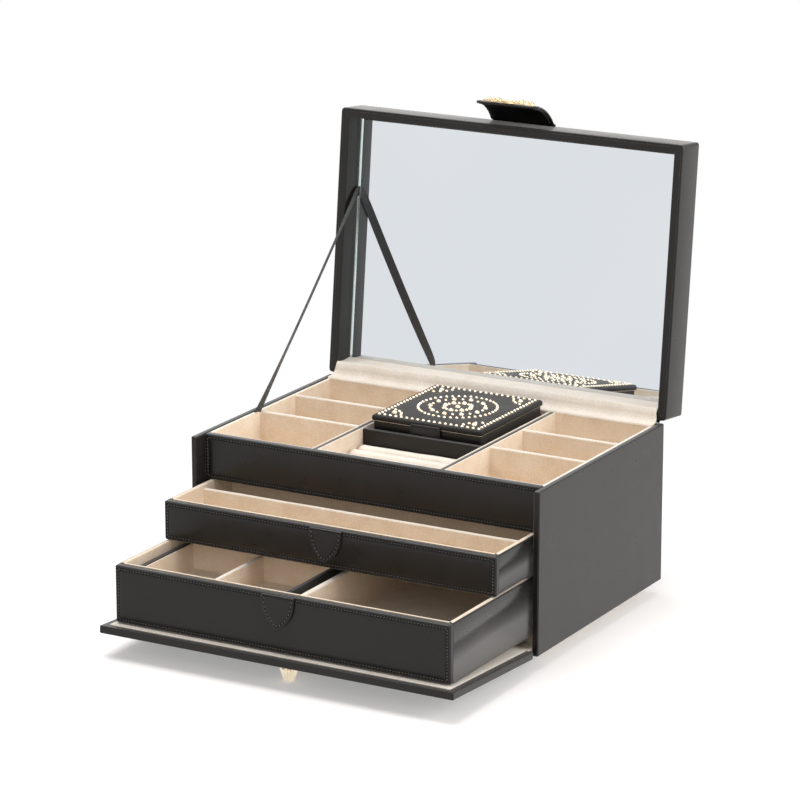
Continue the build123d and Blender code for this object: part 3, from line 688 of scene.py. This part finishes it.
def suede_bars(name, node, along, body):
    """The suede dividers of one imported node."""
    build = Build()
    for low, high in solid_boxes(node):
        suede_bar(build, low, high, along)
    build.piece(name, [SUEDE, SUEDE_PAINTED_TOPLIGHT], "suede_cream", body, [node])


def ease_node(node, material, width=0):
    """Finish a packed board with its material and, where asked, a small rounding on its sharp edges."""
    made = frame["nodes"][node]
    made.data.materials.clear()
    made.data.materials.append(material)
    weld = made.modifiers.new("weld", "WELD")
    weld.merge_threshold = 0.001 * MM
    if width:
        bevel = made.modifiers.new("eased", "BEVEL")
        bevel.width = width
        bevel.segments = 3
        bevel.limit_method = "ANGLE"
        bevel.angle_limit = radians(50)
        bevel.harden_normals = True
    normals = made.modifiers.new("normals", "WEIGHTED_NORMAL")
    normals.keep_sharp = False


# Case
def make_case():
    for node in ("side_panel_left", "side_panel_right", "back_panel"):
        ease_node(node, LEATHER)
    for node in ("bay_wall_left", "bay_wall_right"):
        ease_node(node, LEATHER_PALER_AND_HIGHLIGHT, 0.9 * MM)
    for node in ("dock_wall", "feet", "tray_floor", "drawer_shelf"):
        ease_node(node, LEATHER)
    ease_node("drawer_deck", SUEDE, 0.6 * MM)
    ease_node("bottom_panel", SUEDE)
    stitched_panel("tray_panel_leather", "tray_front_panel", "case")
    for side in ("left", "centre", "right"):
        suede_liner(f"{side}_bay_suede", f"{side}_bay_lining", "case")
    for side in ("left", "right"):
        suede_bars(f"{side}_bay_bars", f"{side}_dividers", 0, "case")


def roll_ring(low, high, place):
    """A ring round a stuffed roll: crowned, drawn in at its foot and gathered at its ends."""
    middle = (low.y + high.y) / 2
    half = (high.y - low.y) / 2
    tall = high.z - low.z
    end = min(1.0, min(place - low.x, high.x - place) / ROLL_END)
    swell = 0.72 + 0.28 * (1 - (1 - end) ** 2) ** 0.5
    ring = []
    for step in range(ROLL_AROUND):
        turn = pi * step / (ROLL_AROUND - 1)
        foot = 0.82 + 0.18 * sin(turn) ** 0.5
        soft = noise.noise(Vector((place * 90, middle * 40, turn * 1.6))) * ROLL_SOFTNESS
        reach = half * (abs(cos(turn)) ** 0.62) * (1 if cos(turn) >= 0 else -1) * foot
        height = low.z + (tall * (0.06 + 0.94 * sin(turn) ** 0.55) + soft - ROLL_SOFTNESS) * swell
        ring.append(Vector((place, middle + reach * swell, max(height, low.z))))
    return ring


def make_ring_rolls():
    build = Build()
    for low, high in solid_boxes("ring_rolls"):
        length = high.x - low.x
        build.loft([roll_ring(low, high, low.x + length * (i / ROLL_STEPS)) for i in range(ROLL_STEPS + 1)])
    # The ring rolls in the paler suede: painted light from above.
    rolls = build.piece("ring_rolls_suede", [SUEDE_PAINTED_TOPLIGHT], "suede_cream", "case", ["ring_rolls"], 60)


# Lid
def lid_profile():
    """Inset and depth over the lid's section, from its inner wall over the rim and side to its back."""
    profile = [(LID_WALL, LID_HEIGHT - 8.0 * MM), (LID_WALL, RIM_INNER_ROUND)]
    for turn in quarter_turns(4)[1:]:
        profile.append((LID_WALL - RIM_INNER_ROUND * (1 - cos(turn)), RIM_INNER_ROUND * (1 - sin(turn))))
    profile += [(RIM_SEAM + 0.4 * MM, 0), (RIM_SEAM, 0.4 * MM), (RIM_SEAM - 0.3 * MM, 0)]
    for turn in quarter_turns(5):
        profile.append((RIM_OUTER_ROUND * (1 - sin(turn)), RIM_OUTER_ROUND * (1 - cos(turn))))
    profile += rounded_edge(LID_BACK_ROUND, LID_HEIGHT, 7)
    profile.append((LID_BACK_ROUND + 6 * MM, LID_HEIGHT))
    return profile


def make_lid():
    """The lid's leather: inner walls, rim with its turned seam, sides and back in one skin."""
    outer = (-LID_HALF, LID_HALF, 0, LID_LENGTH)
    rings = []
    for inset, depth in lid_profile():
        corner = LID_CORNER if inset < LID_WALL - 2 * MM else 0.5 * MM
        radius = max(corner - inset * 0.4, 0.4 * MM)
        if depth > LID_HEIGHT - LID_BACK_ROUND:
            radius = LID_BACK_ROUND
        rings.append([lid_point(x, v, depth) for x, v in rect_ring(outer, inset, radius)])
    build = Build()
    build.loft(rings)
    # The rim's seam groove in the paler leather: a painted highlight.
    build.mark(range(6, 8))
    walls = ["lid_top_board", "lid_front_wall", "lid_back_wall", "lid_left_wall", "lid_right_wall"]
    build.piece("lid_leather", [LEATHER, LEATHER_PALER_AND_HIGHLIGHT], "leather_black", "lid", walls)
    make_mitres()


def make_mitres():
    """Fine raised seams where the rim's strips meet at each corner, in the paler leather as a painted
    highlight.
    """
    build = Build()
    reach = LID_WALL - MITRE_OVERRUN
    for sign_x in (-1, 1):
        for end, sign_v in ((0, 1), (LID_LENGTH, -1)):
            outer = Vector((sign_x * (LID_HALF - MITRE_GAP), end + sign_v * MITRE_GAP))
            inner = Vector((sign_x * (LID_HALF - reach), end + sign_v * reach))
            side = (inner - outer).normalized().orthogonal() * MITRE_HALF
            rings = []
            for share in (0, 0.5, 1):
                ring = []
                for step in range(6):
                    turn = pi * step / 5
                    flat = outer.lerp(inner, share) + side * cos(turn)
                    ring.append(lid_point(flat.x, flat.y, 0.05 * MM - MITRE_HEIGHT * sin(turn)))
                rings.append(ring)
            build.loft(rings)
    build.piece("lid_mitre_seams", [LEATHER_PALER_AND_HIGHLIGHT], "leather_black", "lid")


def make_mirror():
    """The mirror with its ground and bevelled edge."""
    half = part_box("mirror_glass")[1].x
    gap = LID_WALL + 0.2 * MM

    def place(x, v, depth):
        return lid_point(x, v, MIRROR_DEPTH + MIRROR_THICK - depth)

    profile = [
        (0, 0),
        (0, MIRROR_THICK - 0.1 * MM),
        (MIRROR_BEVEL, MIRROR_THICK - 0.6 * MM),
        (MIRROR_BEVEL * 1.35, MIRROR_THICK),
    ]
    glass = inset_build((-half, half, gap, LID_LENGTH - gap), 0.4 * MM, place, profile)
    glass.marks[-1] = 1
    glass.piece("mirror_silvered", [MIRROR_EDGE, MIRROR], "mirror", "lid", ["mirror_glass"], 3)


# Strips that bend across a hinge
def make_strip(name, corners, steps, half_width, thick, material, slot, columns, turns=None):
    """A flat strip along a smooth path in the YZ plane, or twisted out of it by the given turns."""
    path = smooth_path(corners, steps)
    rings = []
    shares = [2 * column / columns - 1 for column in range(columns + 1)]
    for index, point in enumerate(path):
        along = (path[min(index + 1, steps)] - path[max(index - 1, 0)]).normalized()
        side = ACROSS
        if turns:
            flat = along.cross(ACROSS).normalized()
            side = (flat * cos(turns[index]) + ACROSS * sin(turns[index])).normalized()
        up = side.cross(along).normalized() * (thick / 2)
        half = half_width(index / steps) if callable(half_width) else half_width
        ring = [point + side * (half * share) + up for share in shares]
        rings.append(ring + [point - side * (half * share) - up for share in shares])
    build = Build()
    build.loft(rings)
    return build.piece(name, [material], slot, sharp=50)


def smooth_path(corners, count):
    """Evenly numbered points on a smooth curve through the corner points."""
    spline = [corners[0] * 2 - corners[1], *corners, corners[-1] * 2 - corners[-2]]
    points = []
    spans = len(corners) - 1
    for index in range(count + 1):
        where = spans * index / count
        span = min(int(where), spans - 1)
        t = where - span
        a, b, c, d = spline[span:span + 4]
        points.append(0.5 * (
            2 * b + (c - a) * t + (2 * a - 5 * b + 4 * c - d) * t ** 2 + (3 * b - a - 3 * c + d) * t ** 3
        ))
    return points


def ripple(piece):
    """Give a soft strip the faint unevenness of glued suede."""
    for vertex in piece.data.vertices:
        place = vertex.co * HINGE_RIPPLE_SCALE
        vertex.co.z += noise.noise(place) * HINGE_RIPPLE
        vertex.co.y += noise.noise(place + Vector((7, 3, 1))) * HINGE_RIPPLE * 0.6
    piece.data.update()


def make_hinge_suede():
    """Suede that runs from the tray's back ledge up over the lid's inner ledge."""
    low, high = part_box("lid_hinge_lining")
    half_thick = HINGE_THICK / 2
    corners = [Vector((0, low.y + back * MM, low.z + up * MM)) for back, up in HINGE_FOLD]
    corners += [
        lid_point(0, LID_WALL + 1.5 * MM, 0.2 * MM),
        lid_point(0, LID_WALL + 1.5 * MM - half_thick, 3.5 * MM),
        lid_point(0, LID_WALL + 1.6 * MM - half_thick, 11 * MM),
        lid_point(0, LID_WALL + 3.0 * MM - half_thick, MIRROR_DEPTH - 0.3 * MM),
    ]
    case_half = high.x - 0.2 * MM
    lid_half = LID_HALF - LID_WALL - 0.2 * MM

    def half(share):
        return case_half + (lid_half - case_half) * grown(share, 0.35, 0.25)

    # The hinge suede in the paler suede: painted light.
    lining = make_strip("hinge_suede", corners, 60, half, HINGE_THICK, SUEDE_PAINTED_TOPLIGHT, "suede_cream", 60)
    ripple(lining)
    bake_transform(lining)
    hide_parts("lid_hinge_lining", "lid_ledge_lining")


def make_hinge_leather():
    """The leather that joins the lid's back to the case's."""
    low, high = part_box("lid_hinge_strip")
    back = LID_HINGE.y + 0.4 * MM
    corners = [
        Vector((0, back, low.z)),
        Vector((0, back, low.z + 7 * MM)),
        Vector((0, back + 0.15 * MM, LID_HINGE.z - 3.6 * MM)),
        Vector((0, back + 1.6 * MM, LID_HINGE.z - 1.4 * MM)),
        lid_point(0, -0.5 * MM, 4.4 * MM),
        lid_point(0, -0.4 * MM, 15 * MM),
    ]
    thick = HINGE_LEATHER_THICK
    strip = make_strip("hinge_leather", corners, 36, high.x, thick, LEATHER_PALER_AND_HIGHLIGHT, "leather_black", 24)
    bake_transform(strip)
    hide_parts("lid_hinge_strip")


def make_stay():
    """The ribbon that stops the lid: sewn flat at both ends and a little twisted between."""
    low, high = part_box("lid_stay")
    x = (low.x + high.x) / 2
    foot = Vector((x, low.y + 3.5 * MM, low.z + STAY_TAIL))
    top = lid_point(x, STAY_REACH, STAY_DEPTH)
    tucked = foot + STAY_TUCK
    corners = [tucked - Vector((0, 0, STAY_TAIL / 2)), tucked - Vector((0, 0, 1.6 * MM))]
    for share in (0.03, 0.2, 0.4, 0.6, 0.8, 0.97):
        sag = sin(pi * share) * STAY_SAG
        corners.append(foot.lerp(top, share) + Vector((0, sag * 0.5, -sag)))
    corners += [top + LID_UP * 0.8 * MM + LID_BACK * back * MM for back in (2.0, 4.4)]
    turns = []
    for index in range(STAY_STEPS + 1):
        share = index / STAY_STEPS
        free = grown(share, 0.14, 0.25) * grown(1 - share, 0.1, 0.25)
        turns.append(STAY_TWIST * free * free * (3 - 2 * free))
    ribbon = make_strip(
        "stay_ribbon", corners, STAY_STEPS, STAY_HALF, STAY_THICK, RIBBON, "ribbon_black", 6, turns
    )
    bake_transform(ribbon)
    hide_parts("lid_stay")


# Clasp
def clasp_point(x, turn, height):
    """A point over the tongue's underside, by the angle that is left until it runs level."""
    radius = CLASP_BEND + height
    up = LID_LENGTH + 0.1 * MM - CLASP_BEND * cos(CLASP_SWEEP) + radius * cos(turn)
    back = CLASP_ROOT - CLASP_BEND * sin(CLASP_SWEEP) + radius * sin(turn)
    return lid_point(x, up, back)


def clasp_frames():
    """Each step along the tab: point, outward direction, half width and distance to both ends."""
    half_thick = CLASP_THICK / 2
    leaf = (LID_HEIGHT - 2.2 * MM, CLASP_ROOT + 2.9 * MM)
    corners = [lid_point(0, LID_LENGTH + half_thick, back) for back in leaf]
    for index in range(10):
        corners.append(clasp_point(0, CLASP_SWEEP * (0.95 - 0.95 * index / 9), half_thick))
    path = smooth_path(corners, 110)
    runs = [0.0]
    for before, after in zip(path, path[1:]):
        runs.append(runs[-1] + (after - before).length)
    total = runs[-1]
    frames = []
    for index, run in enumerate(runs):
        before, after = path[max(index - 1, 0)], path[min(index + 1, len(path) - 1)]
        half = CLASP_ROOT_HALF + (CLASP_TIP_HALF - CLASP_ROOT_HALF) * run / total
        for gap, corner in ((run, CLASP_ROOT_CORNER), (total - run, CLASP_TIP_CORNER)):
            if gap < corner:
                half -= corner - (corner ** 2 - (corner - gap) ** 2) ** 0.5
        frames.append((path[index], (after - before).cross(ACROSS).normalized(), half, run, total - run))
    return frames


def clasp_leather(frames):
    """The tab in one skin, rounded at all its edges, with painted shade beneath in a darker leather."""
    rings = []
    for point, up, half, run, left in frames:
        gap = min(run, left, CLASP_EDGE) / CLASP_EDGE
        thick = CLASP_THICK / 2 * max(0.35, (1 - (1 - gap) ** 2) ** 0.5)
        ring = []
        for sign in (1, -1):
            for step in range(6):
                turn = pi / 2 - pi * step / 5
                offset = half - thick + thick * cos(turn)
                ring.append(point + ACROSS * (sign * offset) + up * (sign * thick * sin(turn)))
            for column in range(1, 12):
                across = (half - thick) * (1 - 2 * column / 12)
                ring.append(point + ACROSS * (sign * across) - up * (sign * thick))
        rings.append(ring)
    build = Build()
    build.loft(rings)
    # The tongue's underside in the darker leather: painted shade.
    build.mark(range(len(rings) - 1), range(5, 17))
    tab = build.piece("clasp_leather", [LEATHER, LEATHER_SHADE_PAINTED], "leather_black", sharp=60)
    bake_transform(tab)
    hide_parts("clasp_base", "clasp_tongue")


def clasp_stitches(frames):
    """Stitches along both sides of the tongue, above and below."""
    build = Build()
    for side in (1, -1):
        row = []
        for point, up, half, run, left in frames:
            if run > 7 * MM and left > 1.2 * MM:
                lift = up * (side * (CLASP_THICK / 2 + 0.02 * MM))
                row.append((point + lift, half - CLASP_SEAM, up * side))
        last = row[0]
        for spot in row[1:]:
            if (spot[0] - last[0]).length >= STITCH_PITCH * 0.95:
                for sign in (-1, 1):
                    ends = [point + ACROSS * (sign * half) for point, half, up in (last, spot)]
                    add_stitches(build, *ends, last[2])
                last = spot
    build.piece("clasp_stitches", [THREAD_PAINTED_HIGHLIGHT], "leather_black", "clasp")


def make_clasp():
    """The leather tab on the lid: sewn flat behind its fold, then rising and bending level."""
    frames = clasp_frames()
    clasp_leather(frames)
    clasp_stitches(frames)
    make_plate()


def plate_point(x, s, height):
    """A point over the plate's seat, by its place across and along the tongue."""
    return clasp_point(x, PLATE_TURN - s / (CLASP_BEND + PLATE_SEAT), PLATE_SEAT + height)


def plate_edge(turn, share=1.0):
    """The plate's scalloped outline, or one drawn in from it."""
    lobe = (1 + 0.07 * cos(9 * turn) + 0.035 * sin(14 * turn)) * share
    squared = max(abs(cos(turn)), abs(sin(turn))) ** -0.45 * 0.93
    return PLATE_HALF_X * cos(turn) * lobe * squared, PLATE_HALF_S * sin(turn) * lobe * squared


def make_plate():
    """A pierced relief on the tongue's tip: scalloped edge, rope border and a ring for the lock stud."""
    build = Build()
    rings = []
    for share, level in PLATE_LEVELS:
        ring = []
        for turn in full_turns(120):
            x, s = plate_edge(turn)
            hole_x, hole_s = PLATE_HOLE * cos(turn), PLATE_HOLE * sin(turn)
            x, s = x + (hole_x - x) * share, s + (hole_s - s) * share
            ring.append(plate_point(x, s, PLATE_THICK * level))
        rings.append(ring)
    build.loft(rings + rings[:1], capped=False)
    rings = []
    for turn in full_turns(40):
        ring = []
        for tube in full_turns(10):
            reach, height = PLATE_RING + PLATE_TUBE * cos(tube), PLATE_THICK + PLATE_TUBE * sin(tube)
            ring.append(plate_point(reach * cos(turn), reach * sin(turn), height))
        rings.append(ring)
    build.loft(rings + rings[:1], capped=False)
    for index, turn in enumerate(full_turns(PLATE_BEADS)):
        add_dome(build, plate_point, *plate_edge(turn, 0.88), PLATE_THICK, (1.25 if index % 3 else 1.6) * MM)
    for sign in (-1, 1):
        for x, s, radius in PLATE_DOMES:
            add_dome(build, plate_point, sign * x * MM, s * MM, PLATE_THICK, radius * MM)
    build.piece("clasp_plate_gold", [GOLD_DEEP], "gold_metal", "clasp", ["clasp_plate"], 45)


def add_dome(build, place, x, s, base, radius):
    """A small domed bead on a surface."""
    rings = []
    for rise in quarter_turns(5)[:-1]:
        reach, height = radius * cos(rise), base + radius * sin(rise) * 0.9
        flat = [(x + reach * cos(turn), s + reach * sin(turn)) for turn in full_turns(10)]
        rings.append([place(*point, height) for point in flat])
    build.loft(rings)


# Drop front
def make_drop_front():
    """The drop front's board, its stud and the suede on its inner face."""
    ease_node("flap_board", LEATHER)
    ease_node("lock_stud", GOLD)
    low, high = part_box("flap_lining")
    start = 1.0 * MM
    length = (high.y - low.y) / cos(FLAP_TILT) - FLAP_LINING * sin(FLAP_TILT)

    def place(x, forward, up):
        return flap_point(x, forward, FLAP_BOARD + up)

    profile = [(0, 0), (0, FLAP_LINING * 0.45)] + rounded_edge(FLAP_LINING * 0.5, FLAP_LINING)
    lining = inset_build((low.x, high.x, start, start + length), FLAP_CORNER, place, profile)
    # The drop front's suede in the paler suede: painted light from above.
    lining.piece("drop_front_suede", [SUEDE_PAINTED_TOPLIGHT], "suede_cream", "drop_front", ["flap_lining"])
    make_drop_suede()
    make_drop_leather()


def make_drop_suede():
    """The suede over the inside of the drop front's hinge."""
    low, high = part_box("flap_hinge_lining")
    corners = [
        Vector((0, high.y, high.z - 0.3 * MM)),
        Vector((0, low.y + 4 * MM, high.z - 0.3 * MM)),
        Vector((0, low.y + 0.8 * MM, high.z - 0.9 * MM)),
        flap_point(0, 0.2 * MM, FLAP_BOARD + 0.2 * MM),
        flap_point(0, 3.5 * MM, FLAP_BOARD + 0.45 * MM),
    ]
    strip = make_strip("drop_hinge_suede", corners, 24, high.x, FLAP_LINING, SUEDE, "suede_cream", 20)
    start, end = (0, low.y + 2 * MM, high.z), flap_point(0, 1.5 * MM, FLAP_BOARD)
    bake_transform(strip)
    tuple(start)
    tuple(end)
    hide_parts("flap_hinge_lining")


def make_drop_leather():
    """The leather that joins the drop front's underside to the case's."""
    half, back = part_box("flap_hinge_strip")[1].xy
    thick = FLAP_LEATHER
    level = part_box("side_panel_left")[0].z - thick / 2
    corners = [
        Vector((0, back, level)),
        Vector((0, FLAP_PIVOT.y + 4 * MM, level)),
        Vector((0, FLAP_PIVOT.y + 0.6 * MM, level)),
        flap_point(0, 4 * MM, -thick / 2),
        flap_point(0, 15 * MM, -thick / 2),
    ]
    strip = make_strip("drop_hinge_leather", corners, 24, half, thick, LEATHER_PALER_AND_HIGHLIGHT, "leather_black", 20)
    start, end = (0, FLAP_PIVOT.y + 2 * MM, level), flap_point(0, 2 * MM, 0)
    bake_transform(strip)
    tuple(start)
    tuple(end)
    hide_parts("flap_hinge_strip")


# Drawers
def shield(half, tall):
    """Half of a shield's outline: down its full side and in to a soft point below."""
    return [(half * (1 - sin(turn) ** 2.8) ** 0.85, -tall * sin(turn)) for turn in quarter_turns(20)]


def pull_tab(name, node, body):
    """A stitched leather shield that hangs from its top edge and curls out at its point."""
    low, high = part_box(node)
    half = (high.x - low.x) / 2
    tall = high.z - low.z
    side = shield(half, tall)
    outline = side + [(-x, z) for x, z in reversed(side[:-1])]
    middle = Vector((0, -tall * 0.42))

    def place(x, z, depth):
        curl = PULL_CURL * min(max(-z / tall, 0), 1) ** 2.4
        return Vector((x, high.y - depth - curl, high.z + z))

    def ring(inset, depth):
        points = []
        for x, z in outline:
            away = Vector((x, z)) - middle
            flat = middle + away * ((away.length - inset) / away.length)
            points.append(place(flat.x, min(flat.y, 0), depth))
        return points

    profile = [(0.5 * MM, 0.0), (0, 0.5 * MM), (0, PULL_THICK - PULL_EDGE)]
    profile += rounded_edge(PULL_EDGE, PULL_THICK)
    profile += [
        (PULL_SEAM - 0.6 * MM, PULL_THICK),
        (PULL_SEAM, PULL_THICK - 0.22 * MM),
        (PULL_SEAM + 0.6 * MM, PULL_THICK),
        (PULL_SEAM + 3 * MM, PULL_THICK + 0.1 * MM),
        (PULL_SEAM + 7 * MM, PULL_THICK + 0.12 * MM),
    ]
    build = Build()
    build.loft([ring(inset, depth) for inset, depth in profile])
    # The seam groove in the near-black leather: painted shade.
    build.mark(range(8, 10))
    build.piece(name, [LEATHER, SEAM_PAINTED_SHADE], "leather_black", body, [node])
    stitches = Build()
    stitched_line(stitches, ring(PULL_SEAM, PULL_THICK - 0.06 * MM), STITCH_PITCH * 0.92, FORWARD)
    stitches.piece(name + "_stitches", [THREAD_PAINTED_HIGHLIGHT], "leather_black", body)


def make_drawers():
    stitched_panel("upper_front_leather", "upper_front", "upper_drawer")
    stitched_panel("lower_front_leather", "lower_front", "lower_drawer")
    for node in ("upper_box", "lower_box"):
        ease_node(node, LEATHER_SMOOTH)
    pull_tab("upper_tab_leather", "upper_pull", "upper_drawer")
    pull_tab("lower_tab_leather", "lower_pull", "lower_drawer")
    suede_liner("upper_drawer_suede", "upper_lining", "upper_drawer", "upper_box")
    suede_liner("lower_drawer_suede", "lower_lining", "lower_drawer", "lower_box")
    suede_bars("upper_drawer_bar", "upper_divider", 0, "upper_drawer")
    suede_bars("centre_wall_suede", "centre_wall", 1, "lower_drawer")
    ease_node("insert_tray", LEATHER_PALER_AND_HIGHLIGHT, 0.9 * MM)
    suede_liner("insert_suede", "insert_lining", "lower_drawer")
    suede_bars("insert_bar", "insert_divider", 1, "lower_drawer")


# Travel case
def make_travel_case():
    ease_node("mini_box", LEATHER, 0.5 * MM)
    suede_liner("travel_case_suede", "mini_lining", "travel_case")
    make_nails()
    make_travel_lid()
    make_travel_tab()


def make_nails():
    """Gilt domed nails on the travel case's lid, with a wreath of small and large ones."""
    low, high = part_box("mini_lid")
    centre = (low + high) / 2
    build = Build()

    def place(x, y, height):
        return Vector((x, y, high.z + height))

    reach = 0.0
    for nail_low, nail_high in solid_boxes("mini_nails"):
        middle = (nail_low + nail_high) / 2
        reach = max(reach, middle.x - centre.x)
        add_dome(build, place, middle.x, middle.y, 0, (nail_high.x - nail_low.x) / 2 * NAIL_SCALE)
    for index, turn in enumerate(full_turns(WREATH_NAILS)):
        x, y = centre.x + reach * 0.5 * cos(turn), centre.y + reach * 0.5 * sin(turn)
        add_dome(build, place, x, y, 0, WREATH_LARGE if index % 2 else WREATH_SMALL)
    build.piece("travel_lid_nails", [GOLD], "gold_metal", "travel_lid", ["mini_nails"], 60)


def make_travel_lid():
    """The travel case's pebbled lid and the suede beneath it."""
    low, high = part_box("mini_lid")
    thick = high.z - low.z
    outer = (low.x, high.x, low.y, high.y)

    def place(x, y, height):
        return Vector((x, y, low.z + height))

    profile = [(1.2 * MM, 0.0), (0.35 * MM, 0.35 * MM), (0, 1.1 * MM), (0, thick - TRAVEL_EDGE)]
    profile += rounded_edge(TRAVEL_EDGE, thick, 6)
    lid = inset_build(outer, TRAVEL_CORNER, place, profile)
    lid.piece("travel_lid_leather", [LEATHER_PEBBLED], "leather_black", "travel_lid", ["mini_lid"])

    inset = TRAVEL_LINING_INSET
    under = (low.x + inset, high.x - inset, low.y + inset, high.y - inset)
    profile = [(0, 0.5 * MM), (0, -0.1 * MM), (0.4 * MM, -0.35 * MM)]
    lining = inset_build(under, 1.5 * MM, place, profile)
    lining.piece("travel_lid_suede", [SUEDE], "suede_cream", "travel_lid")


def make_travel_tab():
    """The closing tab on the travel case's front, a little thinner towards its end."""
    low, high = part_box("mini_tab")
    thick = high.y - low.y

    def place(x, z, depth):
        share = (high.z - z) / (high.z - low.z)
        return Vector((x, high.y - depth * (1 - 0.15 * share), z))

    profile = [(0.3 * MM, 0), (0, 0.3 * MM), (0, thick * 0.5)] + rounded_edge(thick * 0.5, thick)
    profile += [(1.5 * MM, thick), (1.9 * MM, thick - 0.3 * MM), (2.3 * MM, thick)]
    tab = inset_build((low.x, high.x, low.z, high.z), 1.2 * MM, place, profile)
    tab.piece("travel_tab_leather", [LEATHER], "leather_black", "travel_lid", ["mini_tab"])


# Stage
def make_floor():
    """A pale floor that keeps the shadow near the part and fades to white beyond."""
    mesh = bpy.data.meshes.new("floor")
    corners = [(x * FLOOR_HALF, y * FLOOR_HALF, 0) for x, y in ((-1, -1), (1, -1), (1, 1), (-1, 1))]
    mesh.from_pydata(corners, [], [(0, 1, 2, 3)])
    material = bpy.data.materials.new("pale_floor")
    mesh.materials.append(material)
    nodes = Nodes(material)
    paths = nodes.node("ShaderNodeLightPath").outputs
    seen = nodes.seen(paths)
    place = nodes.node("ShaderNodeTexCoord").outputs["Object"]
    distance = nodes.node("ShaderNodeVectorMath", place)
    distance.operation = "LENGTH"
    away = distance.outputs["Value"]
    fade = nodes.node("ShaderNodeMapRange", Value=away, From_Min=FADE_START, From_Max=FADE_END)
    fade.interpolation_type = "SMOOTHSTEP"
    diffuse = nodes.node("ShaderNodeBsdfDiffuse", Color=FLOOR_COLOUR)
    glow = nodes.node("ShaderNodeEmission", Strength=nodes.combine("MULTIPLY", seen, FLOOR_LIFT))
    near = nodes.node("ShaderNodeAddShader", diffuse, glow)
    faded = nodes.combine("MULTIPLY", fade, seen)
    mirrored = nodes.combine("MULTIPLY", paths["Is Glossy Ray"], FLOOR_MIRRORED)
    share = nodes.combine("MAXIMUM", faded, mirrored)
    surface = nodes.node("ShaderNodeMixShader", share, near, nodes.node("ShaderNodeEmission"))
    nodes.node("ShaderNodeOutputMaterial", Surface=surface)
    floor = add_object("floor", mesh)


def make_sky():
    """Even light from all round, and plain white wherever it is seen or mirrored."""
    world = bpy.data.worlds.new("studio")
    bpy.context.scene.world = world
    nodes = Nodes(world)
    white = (1, 1, 1, 1)
    light = nodes.node("ShaderNodeBackground", Color=white, Strength=SKY_STRENGTH)
    shown = nodes.node("ShaderNodeBackground", Color=white, Strength=1.0)
    seen = nodes.seen(nodes.node("ShaderNodeLightPath").outputs)
    mixed = nodes.node("ShaderNodeMixShader", seen, light, shown)
    nodes.node("ShaderNodeOutputWorld", Surface=mixed)


def aim(made, place, target):
    """Put a lamp or camera at a place and turn it towards a target."""
    made.location = place
    made.rotation_mode = "QUATERNION"
    made.rotation_quaternion = (Vector(target) - Vector(place)).to_track_quat("-Z", "Y")


def make_lamps():
    """Square soft lamps."""
    for name, place, height, size, power in LAMPS:
        lamp = bpy.data.lights.new(name, "AREA")
        lamp.shape = "SQUARE"
        lamp.size = size
        lamp.energy = power
        made = add_object(name, lamp)
        aim(made, place, (0, 0, height))
        made.visible_camera = False


def make_camera():
    camera = bpy.data.cameras.new("camera")
    camera.sensor_width = CAMERA_SENSOR
    camera.lens = CAMERA_LENS
    camera.clip_start = 0.1
    camera.clip_end = 60
    made = add_object("camera", camera)
    aim(made, CAMERA_PLACE, CAMERA_TARGET)
    bpy.context.scene.camera = made


make_camera()
make_floor()
make_sky()
make_lamps()
make_case()
make_ring_rolls()
make_lid()
make_mirror()
make_hinge_suede()
make_hinge_leather()
make_stay()
make_clasp()
make_drop_front()
make_drawers()
make_travel_case()

bpy.context.scene.view_settings.view_transform = "Standard"
